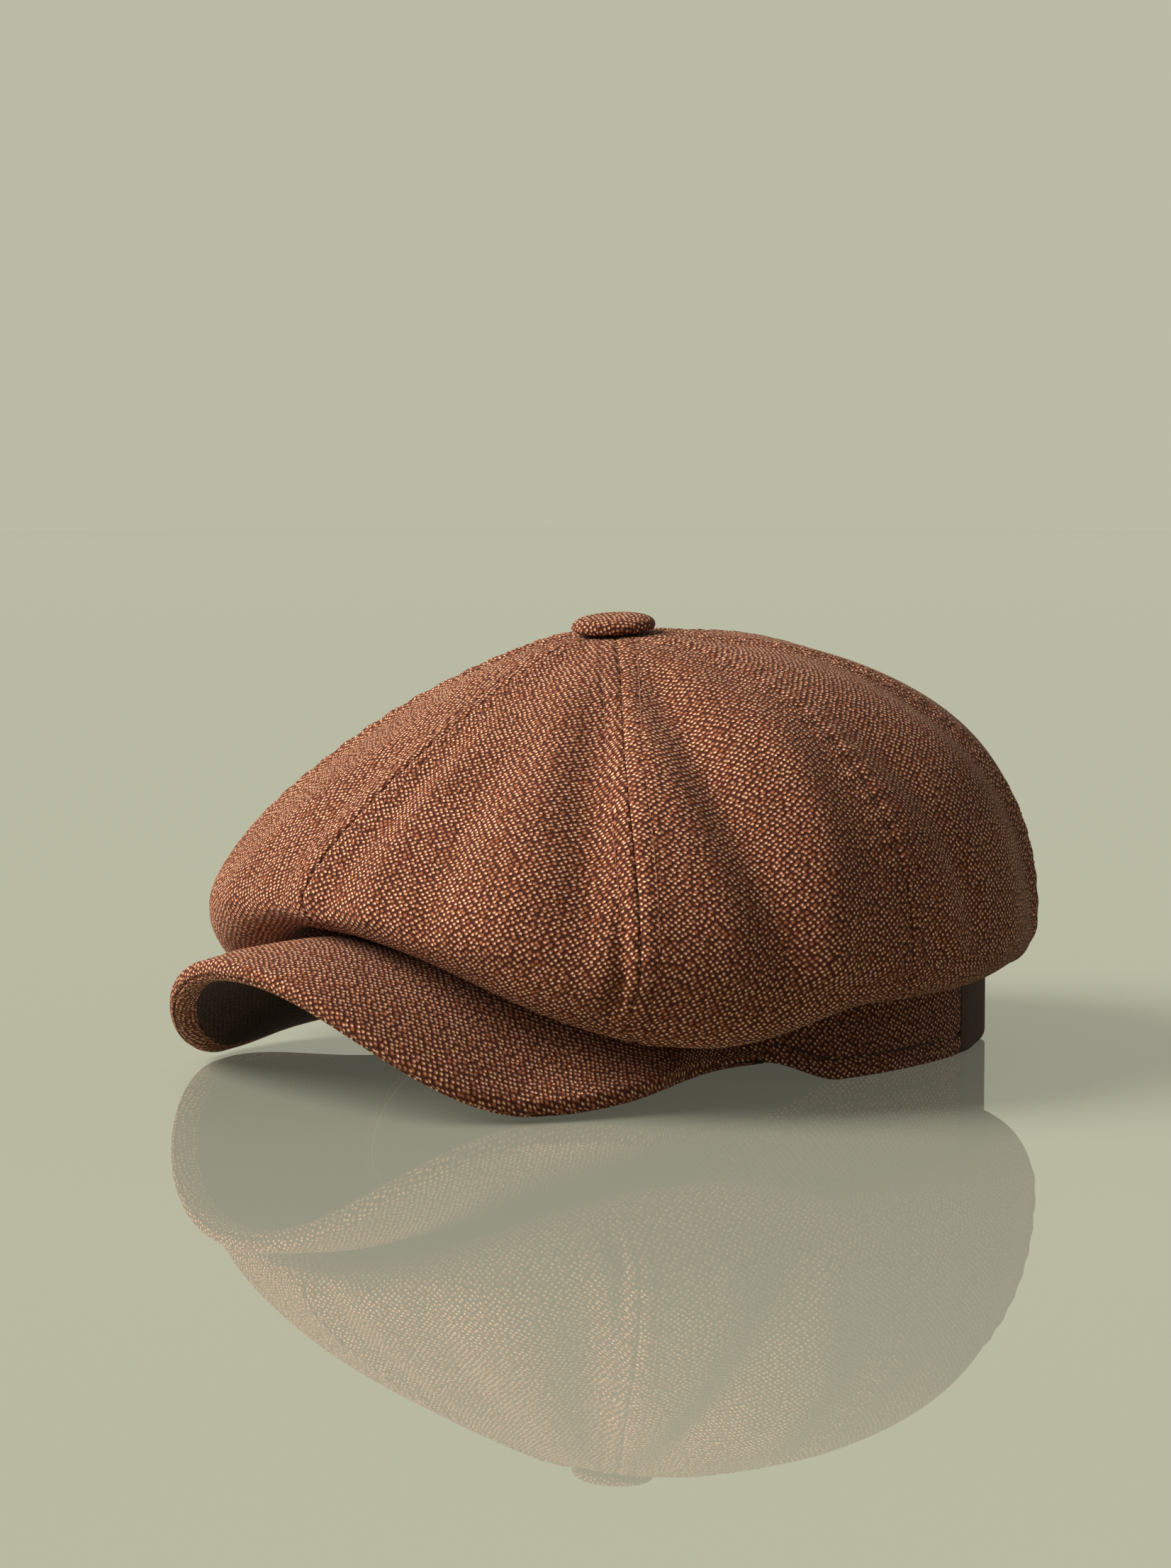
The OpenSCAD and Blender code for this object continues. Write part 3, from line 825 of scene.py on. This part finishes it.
def folded_profile(rows, thickness):
    """Profile of a cloth wall that is folded at its lower edge.

    Down the face, round a half circle as wide as the wall, and a short way up the back.
    """
    face = bounded(1, 0, rows)
    bend = bounded(0, math.pi, 9)[1:]
    radius = thickness / 2
    up = bounded(0, TURN_UP, 6)[1:]
    depth = np.concatenate([0 * face, radius * (1 - np.cos(bend)), 0 * up + thickness])
    height = np.concatenate([face, 0 * bend, 0 * up])
    lift = np.concatenate([radius * (1 - face), radius * (1 - np.sin(bend)), radius + up])
    return depth, height, lift


def wall_piece(name, columns, profile, shape, bulge=None, ring=False, flip=False):
    """Wall piece over the given directions; bulge is a function that moves points outwards."""
    r, z = wall(columns, profile, shape)
    psi = columns[:, None] + 0 * r
    run = np.concatenate([[0], np.cumsum(0.5 * (r[1:, 0] + r[:-1, 0]) * np.diff(columns))])
    depth, height, lift = profile
    fall = travelled(depth, shape.band_height * height + lift)
    if bulge:
        r = r + bulge(psi, run[:, None] + 0 * r, fall[None, :] + 0 * r)
    points = place(psi, r, z, shape)
    uv = np.stack(np.broadcast_arrays(run[:, None], -fall[None, :] + 0 * r), axis=-1)
    if ring:
        points = points[:-1]
    if flip:
        points, uv = points[:, ::-1], uv[:, ::-1]
    return surface_object(name, points, uv, ring)


def band_line(psi, z, proud, shape):
    """Line on the band for stitches, proud of its outer face, and the outward directions."""
    path = place(psi, band_radius(psi, shape) + proud, z, shape)
    return path, unit(place(psi, 1.0, 0.0, shape) - place(psi, 0.0, 0.0, shape))


class CAP_OT_headband(bpy.types.Operator):
    """Make the tweed band, folded at its lower edge, with a topstitch row"""

    bl_idname = "cap.headband"
    bl_label = "Headband"

    def execute(self, context):
        shape, sewing, colours = settings()
        profile = folded_profile(80, BAND_WALL)

        def bulge(psi, run, fall):
            low = shape.band_height - fall
            row = bell(low - BAND_ROW, 0.8 * MM)
            beat = 0.8 + 0.2 * np.cos(TURN * run / sewing.stitch_pitch)
            lip = 0.3 * MM * bell(low - 4.2 * MM, 1.6 * MM)
            soft = 0.25 * MM * np.sin(run / (9 * MM)) * np.sin(run / (31 * MM) + 1)
            end = smooth(off_front(psi), PEAK_END, PEAK_END + 0.12)
            gather = 0.35 * MM * (np.sin(run / (2.4 * MM)) - 1) * end * bell(
                off_front(psi) - PEAK_END - 0.12, 0.09) * smooth(low, 2 * MM, 12 * MM)
            return lip - 1.2 * MM * row * beat + soft + gather

        columns = bounded(ELASTIC[1] - TURN, ELASTIC[0], 480)
        piece = wall_piece("headband_tweed", columns, profile, shape, bulge)
        # The band's tweed is the crown's tweed darkened to 0.92: painted shade under the crown's
        # overhang.
        tweed = stocked(woven_tweed, "wool_tweed_band_woven", colours, 0.92)
        finish_piece(piece, tweed, ["headband"], 0.7 * MM)
        line = bounded(PEAK_END + 0.03, ELASTIC[0] - 0.01, 500)
        rows = [
            band_line(psi, band_bottom(psi, shape) + BAND_ROW, -0.85 * MM, shape)
            for psi in (line, TURN - line)]
        stitch_object(
            "band_topstitching", rows,
            stocked(spun_thread, "polyester_thread_dark_spun", colours.tacking),
            sewing.stitch_pitch, 1.5 * sewing.thread)
        return {"FINISHED"}


class CAP_OT_elastic(bpy.types.Operator):
    """Make the ribbed elastic across the back, with the stitches that hold its ends"""

    bl_idname = "cap.elastic"
    bl_label = "Rear elastic"

    def execute(self, context):
        shape, sewing, colours = settings()
        profile = folded_profile(24, ELASTIC_WALL)

        def bulge(psi, run, fall):
            ribs = 0.16 * MM * np.cos(TURN * run / (2.0 * MM))
            gather = 0.3 * MM * np.sin(run / (4.3 * MM) + np.sin(run / (13 * MM)))
            ends = np.minimum(psi - ELASTIC[0], ELASTIC[1] - psi)
            dip = 0.9 * MM * (1 - smooth(ends, 0.0, 0.035))
            return ribs + gather * smooth(fall, 0, 10 * MM) - 0.1 * MM - dip

        columns = bounded(ELASTIC[0] + 0.002, ELASTIC[1] - 0.002, 900)
        piece = wall_piece("rear_elastic_ribbed", columns, profile, shape, bulge)
        ribbed = stocked(knitted_elastic, "elastic_ribbed_knitted", colours.elastic)
        finish_piece(piece, ribbed, ["rear_elastic"], 0.7 * MM)
        rows = []
        for psi_end in (ELASTIC[0] + 0.009, ELASTIC[1] - 0.009):
            psi = np.full(60, psi_end)
            low = band_bottom(psi[:1], shape)[0]
            z = bounded(low - 1 * MM, low + shape.band_height, 60)
            rows.append(band_line(psi, z, -0.35 * MM, shape))
        stitch_object(
            "elastic_tacking", rows,
            stocked(spun_thread, "polyester_thread_dark_spun", colours.tacking),
            2.0 * MM, 2.2 * sewing.thread)
        return {"FINISHED"}


def peak_end(shape):
    """Where the peak's edge meets the band on the left."""
    return place(PEAK_END, band_radius(np.array(PEAK_END), shape), 0.0, shape)


def peak_edge(share, shape):
    """Edge of the peak from -1 at its right end to 1 at its left end.

    In plan it is a superellipse-like arc, sin and cos to the power 0.87, drawn in to the band at
    its ends. In height it is a cosine arch between the two lobes, which touch the surface.
    """
    a = share * math.pi / 2
    end = peak_end(shape)
    tuck = smooth(np.abs(share), 0.75, 1.0)
    width = shape.peak_half_width * (1 - tuck * (1 - abs(end[0]) / shape.peak_half_width))
    back = end[1] - 6 * MM
    lobe = 0.6
    x = width * np.sign(np.sin(a)) * np.abs(np.sin(a)) ** 0.87
    y = back - (shape.peak_reach + back) * np.abs(np.cos(a)) ** 0.87
    arch = np.cos(np.minimum(np.abs(share) / lobe, 1) * math.pi / 2).clip(0) ** 1.65
    z = shape.peak_lift * arch + 8 * MM * smooth(np.abs(share), lobe + 0.04, 1.0)
    return np.stack([x, y, z], axis=-1)


def peak_under(psi, w, shape):
    """Underside of the peak: a straight blend from the band to the edge, crowned by w (1 - w)."""
    share = np.sign(psi) * band_angle(psi, shape) / band_angle(np.array(PEAK_END), shape)
    radius = band_radius(psi, shape) + 0.1 * MM
    seam = place(psi, radius, band_bottom(psi, shape), shape)
    edge = peak_edge(share, shape)
    w = w[..., None]
    crowning = shape.peak_crowning * w * (1 - w) * (1 - np.abs(share))[..., None]
    return seam * (1 - w) + edge * w + crowning * np.array([0, 0, 1.0])


def peak_frame(psi, w, shape):
    """Point, upward direction, outward direction, width and taper of the peak at psi and w."""
    def form(a, b):
        return peak_under(a.clip(-PEAK_END, PEAK_END), b, shape)

    share = np.abs(band_angle(psi, shape) / band_angle(np.array(PEAK_END), shape))
    across = peak_under(psi, np.ones_like(w), shape) - peak_under(psi, np.zeros_like(w), shape)
    wide = np.linalg.norm(across, axis=-1)
    up = normals(form, psi, w, 4e-3, 0.05)
    keep = (4 * w).clip(0, 1) * (1 - smooth(share, 0.8, 0.97))
    up = unit(up * keep[..., None] + np.array([0, 0, 1.0]) * (1 - keep[..., None]))
    taper = 1 - 0.6 * smooth(share, 0.8, 1)
    return peak_under(psi, w, shape), up, unit(across), wide, taper


def peak_sheet(psi, w, lift, shape):
    """Points at a lift above the peak's underside."""
    point, up, _, _, taper = peak_frame(psi, w, shape)
    return point + up * (lift * taper)[..., None]


def peak_section(psi, closing, top_rows, shape):
    """The peak's cover at the given directions: over the top, round the edge, under to the hem.

    The edge is a half circle as thick as the peak, and it carries a stitched seam line two
    thirds of the way down. Where closing falls from 1 to 0 the section shrinks to its middle
    and moves back by the square root of 1 - closing^2, which rounds off the ends.
    """
    ones = np.ones_like(psi)
    _, _, out, wide, taper = peak_frame(psi, ones, shape)
    start = 1 - np.minimum(shape.peak_thickness / 2, 0.25 * wide) / wide
    hem = 1 - np.minimum(shape.peak_hem, 0.5 * wide) / wide
    thick = shape.peak_thickness * closing
    rows = [peak_sheet(psi, v * start, thick, shape) for v in bounded(0, 1, top_rows)]
    centre, up, _, _, _ = peak_frame(psi, start, shape)
    reach = (1 - start) * wide * closing
    for angle in np.radians(bounded(90, -90, 45)[1:-1]):
        groove = 1 - 0.2 * bell(angle + math.radians(24), 0.11)
        swell = groove * (1 + 0.05 * math.cos(angle))
        rows.append(
            centre + out * (reach * math.cos(angle) * swell)[:, None]
            + up * (taper * thick / 2 * (1 + math.sin(angle) * swell))[:, None])
    for v in bounded(0, 1, 7):
        rows.append(peak_sheet(psi, start + (hem - start) * v, 0 * ones, shape))
    half = 0.5 * shape.peak_thickness * taper
    round_off = np.stack([0 * half, half * np.sqrt(1 - closing ** 2), half * (1 - closing)], axis=-1)
    return np.stack(rows, axis=1) + round_off[:, None, :]


def floor_contact(points):
    """Keep points at or above the surface that the cap rests on."""
    lifted = points.copy()
    lifted[..., 2] = np.maximum(lifted[..., 2], 0.02 * MM)
    return lifted


def clear_of_board(points, psi, shape):
    """Ease the narrow ends of the peak's cloth 0.7 mm outwards, clear of the board inside."""
    share = band_angle(psi, shape) / band_angle(np.array(PEAK_END), shape)
    eased = points.copy()
    eased[..., 0] += (0.7 * MM * np.sign(psi) * smooth(share, 0.86, 0.99))[:, None]
    return eased


def plan_map(points):
    """Weave map of cloth cut in one flat piece: its plan, with the fall past the edge added.

    Each column runs outwards from the band's seam, and the narrow ends keep one direction.
    """
    count = len(points)
    fall = travelled(*np.moveaxis(points, -1, 0))
    first = points[:, :1, :2]
    way = unit(points[:, points.shape[1] // 2, None, :2] - first)
    held = np.arange(count).clip(count // 8, count - 1 - count // 8)
    return first + way[held] * fall[..., None]


class CAP_OT_peak(bpy.types.Operator):
    """Make the peak's upper cloth, with its rolled edge and hem, and its under cloth"""

    bl_idname = "cap.peak"
    bl_label = "Peak"

    def execute(self, context):
        shape, _, colours = settings()
        psi = bounded(-PEAK_END, PEAK_END, 380)
        fade = np.cos(np.radians([90, 60, 30]))
        closing = np.concatenate([fade, np.ones_like(psi), fade[::-1]])
        ends = np.concatenate([psi[:1].repeat(3), psi, psi[-1:].repeat(3)])
        points = peak_section(ends, closing, 70, shape)
        points = clear_of_board(points, ends, shape)
        soft = 0.3 * MM * np.sin(points[..., 0] * 95 + 1) * np.sin(points[..., 1] * 120)
        points[:, 4:60, 2] += soft[:, 4:60]
        points = floor_contact(points)
        uv = plan_map(points)
        cover = surface_object("peak_upper_tweed", points, uv)
        tweed = stocked(woven_tweed, "wool_tweed_peak_woven", colours, 1.0)
        finish_piece(cover, tweed, ["peak_cover"], 1.2 * MM)

        ones = np.ones_like(psi)
        _, _, _, wide, _ = peak_frame(psi, ones, shape)
        stop = 1 - np.minimum(shape.peak_hem, 0.5 * wide) / wide - 0.0002 / wide
        under = np.stack(
            [peak_sheet(psi, v * stop, 0 * ones, shape) for v in bounded(0, 1, 50)], axis=1)
        under = clear_of_board(floor_contact(under), psi, shape)[:, ::-1]
        lower = surface_object("peak_under_tweed", under, plan_map(under[:, ::-1])[:, ::-1])
        # The under cloth is the same tweed darkened to 0.07: painted shade under the peak.
        painted_shade_tweed = stocked(woven_tweed, "wool_tweed_shaded_woven", colours, 0.07)
        finish_piece(lower, painted_shade_tweed, ["peak_under_cover"], 1.2 * MM)
        return {"FINISHED"}


class CAP_OT_inside(bpy.types.Operator):
    """Make the canvas, the sweatband, the label, the lining and its patch"""

    bl_idname = "cap.inside"
    bl_label = "Inside"

    def execute(self, context):
        shape, _, colours = settings()
        around = bounded(0, TURN, 481)
        self.canvas(around, shape, colours)
        self.sweatband(around, shape, colours)
        self.label(shape, colours)
        self.lining(shape, colours)
        self.patch(shape, colours)
        return {"FINISHED"}

    def canvas(self, around, shape, colours):
        """Plain wall behind the band."""
        share = bounded(1, 0, 12)
        profile = (np.full(12, CANVAS_DEPTH), share, 1.5 * MM * (1 - share))
        piece = wall_piece("band_canvas_woven", around, profile, shape, ring=True)
        cloth = stocked(twill_cotton, "cotton_canvas_sized", colours.canvas, 1.2 * MM)
        finish_piece(piece, cloth, ["band_canvas"], 0.8 * MM)

    def sweatband(self, around, shape, colours):
        """Wall with a sewn line near its lower edge, gathered by a sine behind the elastic."""
        def wrinkle(psi, run, fall):
            behind = smooth(off_front(psi), ELASTIC[0], ELASTIC[0] + 0.2)
            gather = 0.25 * MM * np.sin(run / (1.9 * MM)) * behind
            seam = -0.3 * MM * bell(fall - 31 * MM, 1.0 * MM)
            return -(gather + 0.12 * MM * np.sin(run / (14 * MM))) - seam

        share = bounded(1, 0, 30)
        profile = (np.full(30, SWEATBAND_DEPTH), share, 0.8 * MM * (1 - share))
        piece = wall_piece(
            "sweatband_twill", around, profile, shape, wrinkle, ring=True, flip=True)
        cloth = stocked(twill_cotton, "cotton_twill_woven", colours.sweatband, 0.9 * MM)
        finish_piece(
            piece, cloth, ["sweatband"], 0.9 * MM)

    def label(self, shape, colours):
        """Blank label at the middle of the back, 18 mm high, 4 mm below the band's top."""
        share = bounded(1, 0, 16)
        top = band_top(np.array(math.pi), shape)
        low = band_bottom(np.array(math.pi), shape)
        height = ((top - 4 * MM - 18 * MM * (1 - share)) - low) / (top - low)
        piece = wall_piece(
            "blank_label_woven", np.radians(bounded(173, 187, 40)),
            (np.full(16, LABEL_DEPTH), height, 0 * share), shape, flip=True)
        tape = stocked(twill_cotton, "polyester_tape_woven", colours.label, 0.7 * MM)
        finish_piece(piece, tape, ["size_label"], 0.4 * MM)

    def lining(self, shape, colours):
        """Gores of satin: a cubic Bezier meridian from the patch to the sweatband's top."""
        satin = stocked(woven_satin, "rayon_satin_woven", colours.lining)
        u = bounded(0.006, 1, 90)
        for name, (first, last) in LININGS.items():
            psi = bounded(SEAMS[first], SEAMS[last], 110)
            a, b = np.meshgrid(psi, u, indexing="ij")
            base = band_top(a, shape) + 0.1 * MM
            high = shape.crown_height - shape.lining_drop
            r0 = band_radius(a, shape) - LINING_DEPTH
            r = (3 * b * (1 - b) ** 2 * 0.45 * r0 + 3 * b ** 2 * (1 - b) * (r0 + 6 * MM)
                 + b ** 3 * r0)
            rise = (1 - b) ** 3 + 3 * b * (1 - b) ** 2 + 3 * b ** 2 * (1 - b) * 0.45
            z = base + (high - base) * rise
            edge = np.minimum(a - SEAMS[first], SEAMS[last] - a) * r
            away = smooth(b, 0.05, 0.25) * (1 - smooth(b, 0.85, 1))
            crease = (0.9 * MM * np.sin(9 * a + 26 * b + 3 * np.sin(4 * a)) * away
                      - 0.7 * MM * bell(edge, 1.2 * MM) * away)
            r = r - crease.clip(-2 * MM, 2 * MM) - 0.5 * MM * smooth(b, 0.1, 0.6)
            z = z - 0.4 * MM * (1 - smooth(b, 0.5, 1))
            points = place(a, r, z, shape)[:, ::-1]
            uv = np.stack([(a - psi.mean()) * r, b * 0.15], axis=-1)[:, ::-1]
            gore = surface_object(name + "_satin", points, uv)
            finish_piece(gore, satin, [name], 0.5 * MM)

    def patch(self, shape, colours):
        """Round patch: a disc, domed by 1 less the fourth power of its radius."""
        low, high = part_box("lining_patch")
        radius = 0.5 * (high[0] - low[0])
        turn, ring = np.meshgrid(bounded(0, TURN, 65), bounded(1, 0.002, 14), indexing="ij")
        dome = 0.9 * MM * (1 - ring ** 4)
        points = place(turn, radius * ring, low[2] + 0.1 * MM + dome, shape)
        piece = surface_object("lining_patch_satin", points[:-1], points[..., :2], ring=True)
        satin = stocked(woven_satin, "rayon_satin_woven", colours.lining)
        finish_piece(
            piece, satin, ["lining_patch"], 0.5 * MM)


class CAP_OT_button(bpy.types.Operator):
    """Make the covered button that closes the crown"""

    bl_idname = "cap.button"
    bl_label = "Covered button"

    def execute(self, context):
        shape, _, colours = settings()
        low, high = (np.array(v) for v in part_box("button_cover"))
        radius = 0.5 * (high[0] - low[0])
        tilt = math.radians(4)
        height = 5.5 * MM
        base = np.array([0, -shape.lead, shape.crown_height - shape.dimple + 1 * MM])
        turn, v = np.meshgrid(bounded(0, TURN, 129), bounded(0, 1, 60), indexing="ij")
        angle = (90 - 150 * (v * 1.12).clip(0, 1)) * math.pi / 180
        inward = smooth(v, 0.86, 1.0)
        rim = 0.3 * height
        over = np.cos(angle.clip(0)) ** 0.62
        below = 0.86 + 0.14 * np.cos(angle.clip(None, 0))
        r = radius * np.where(angle > 0, over, below) * (1 - 0.35 * inward)
        z = np.where(
            angle > 0, rim + (height - rim) * np.sin(angle.clip(0)) ** 0.85,
            rim * (1 + np.sin(angle)))
        pleat = 0.25 * MM * np.cos(14 * turn + 1.5 * np.sin(3 * turn)) * smooth(v, 0.62, 0.85)
        soft = 0.12 * MM * np.sin(3 * turn + 5 * v) * np.sin(math.pi * v)
        r = r + (pleat + soft) * (1 - inward)
        x, y = r * np.sin(turn), -r * np.cos(turn)
        points = np.stack([
            x, y * math.cos(tilt) - z * math.sin(tilt),
            y * math.sin(tilt) + z * math.cos(tilt)], axis=-1) + base
        reach = travelled(r, z)
        uv = np.stack([reach * np.sin(turn), -reach * np.cos(turn)], axis=-1) + 0.05
        piece = surface_object("button_tweed", points[:-1], uv, ring=True)
        tweed = stocked(woven_tweed, "wool_tweed_barleycorn_woven", colours, 1.0)
        finish_piece(piece, tweed, ["button_cover"], 1.0 * MM)
        return {"FINISHED"}


class CAP_OT_hidden_parts(bpy.types.Operator):
    """Give the board and the button's fittings their materials"""

    bl_idname = "cap.hidden_parts"
    bl_label = "Hidden parts"

    def execute(self, context):
        _, _, colours = settings()
        board = stocked(moulded_board, "polyethylene_board_moulded", colours.board)
        metal = stocked(tumbled_metal, "steel_stamped_tumbled", colours.metal)
        finishes = {
            "peak_board": board, "button_shell": metal, "button_shank": metal,
            "button_washer": metal,
        }
        for name, material in finishes.items():
            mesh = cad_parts[name].data
            mesh.materials.clear()
            mesh.materials.append(material)
        return {"FINISHED"}


class CAP_OT_stage(bpy.types.Operator):
    """Set up the floor, the round backdrop, the soft lamps and the camera"""

    bl_idname = "cap.stage"
    bl_label = "Studio"

    azimuth: bpy.props.FloatProperty(
        name="Azimuth", description="Camera's turn about the cap", default=math.radians(49.5),
        subtype="ANGLE")
    elevation: bpy.props.FloatProperty(
        name="Elevation", description="Camera's height angle", default=math.radians(6.5),
        subtype="ANGLE")
    distance: bpy.props.FloatProperty(
        name="Distance", description="Camera to its aim", default=1.648, unit="LENGTH")
    lens: bpy.props.FloatProperty(
        name="Lens", description="Focal length in millimetres", default=116.1)
    key: bpy.props.FloatProperty(
        name="Key lamp", description="Strength of the key lamp", default=6.0)
    surround: bpy.props.FloatProperty(
        name="Surround", description="Strength of the even light", default=0.27)

    def execute(self, context):
        _, _, colours = settings()
        self.floor(colours)
        self.camera(context)
        self.lamps(context)
        return {"FINISHED"}

    def floor(self, colours):
        """Round floor and wall: a disc, a quarter circle of rise and an upright wall."""
        rim, bend, wall_top = 2.6, 0.9, 2.6
        flat = bounded(0.001, rim, 40)
        curve = np.radians(bounded(0, 90, 24)[1:])
        upright = bounded(bend, wall_top, 7)[1:]
        r = np.concatenate([flat, rim + bend * np.sin(curve), 0 * upright + rim + bend])
        z = np.concatenate([0 * flat, bend * (1 - np.cos(curve)), upright])
        turn = bounded(0, TURN, 129)
        points = np.stack([
            np.outer(np.sin(turn), r), np.outer(-np.cos(turn), r), np.outer(0 * turn + 1, z)
        ], axis=-1)
        join = len(flat)
        ground, rise = points[:, join::-1], points[:, :join - 1:-1]
        floor = surface_object("studio_floor", ground[:-1], ground[..., :2], ring=True)
        floor.data.materials.append(
            stocked(polished_studio, "studio_surface_lacquered", colours.studio))
        wall_round = surface_object("studio_wall", rise[:-1], rise[..., :2], ring=True)
        wall_round.data.materials.append(
            stocked(lit_backdrop, "studio_backdrop_translucent", colours.studio))
        wall_round.visible_diffuse = False
        wall_round.visible_shadow = False

    def camera(self, context):
        """Camera on a sphere about its aim, looking straight at it."""
        a, e = self.azimuth, self.elevation
        back = Vector((math.sin(a) * math.cos(e), -math.cos(a) * math.cos(e), math.sin(e)))
        right = Vector((math.cos(a), math.sin(a), 0))
        up = back.cross(right)
        aim = right * -0.0304 + Vector((0, 0, 0.0855))
        data = bpy.data.cameras.new("camera")
        data.lens = self.lens
        data.sensor_width = 36
        eye = bpy.data.objects.new("camera", data)
        turn = Matrix((right, up, back)).transposed().to_4x4()
        eye.matrix_world = Matrix.Translation(aim + back * self.distance) @ turn
        context.collection.objects.link(eye)
        context.scene.camera = eye

    def lamps(self, context):
        """A broad soft key lamp in front of the cap and an even surround."""
        key = bpy.data.lights.new("key_lamp", "SUN")
        key.energy = self.key
        key.angle = math.radians(40)
        key.color = (1.0, 0.97, 0.93)
        lamp = bpy.data.objects.new("key_lamp", key)
        toward = Vector((-0.50, -0.66, 0.64))
        lamp.matrix_world = toward.to_track_quat("Z", "Y").to_matrix().to_4x4()
        context.collection.objects.link(lamp)
        world = context.scene.world or bpy.data.worlds.new("world")
        context.scene.world = world
        world.use_nodes = True
        background = world.node_tree.nodes["Background"]
        background.inputs["Color"].default_value = (0.96, 0.98, 0.92, 1)
        background.inputs["Strength"].default_value = self.surround
        context.scene.view_settings.view_transform = "Standard"


OPERATORS = (
    CAP_OT_stage, CAP_OT_crown, CAP_OT_crown_stitching, CAP_OT_headband, CAP_OT_elastic,
    CAP_OT_peak, CAP_OT_inside, CAP_OT_button, CAP_OT_hidden_parts,
)


class CAP_PT_panel(bpy.types.Panel):
    """The cap's settings and its pieces"""

    bl_idname = "CAP_PT_panel"
    bl_label = "Newsboy Cap"
    bl_space_type = "VIEW_3D"
    bl_region_type = "UI"
    bl_category = "Cap"

    def draw(self, context):
        for group in settings():
            box = self.layout.box()
            for name in type(group).__annotations__:
                box.prop(group, name)
        for operator in OPERATORS:
            self.layout.operator(operator.bl_idname)


CLASSES = (CapShape, CapSewing, CapColours, *OPERATORS, CAP_PT_panel)


def register():
    for cls in CLASSES:
        bpy.utils.register_class(cls)
    bpy.types.Scene.cap_shape = bpy.props.PointerProperty(type=CapShape)
    bpy.types.Scene.cap_sewing = bpy.props.PointerProperty(type=CapSewing)
    bpy.types.Scene.cap_colours = bpy.props.PointerProperty(type=CapColours)


def unregister():
    del bpy.types.Scene.cap_colours
    del bpy.types.Scene.cap_sewing
    del bpy.types.Scene.cap_shape
    for cls in reversed(CLASSES):
        bpy.utils.unregister_class(cls)


def main():
    """Make every piece in order."""
    register()
    bpy.ops.cap.stage()
    bpy.ops.cap.crown()
    bpy.ops.cap.crown_stitching()
    bpy.ops.cap.headband()
    bpy.ops.cap.elastic()
    bpy.ops.cap.peak()
    bpy.ops.cap.inside()
    bpy.ops.cap.button()
    bpy.ops.cap.hidden_parts()
    bpy.context.view_layer.update()


if __name__ == "__main__":
    main()
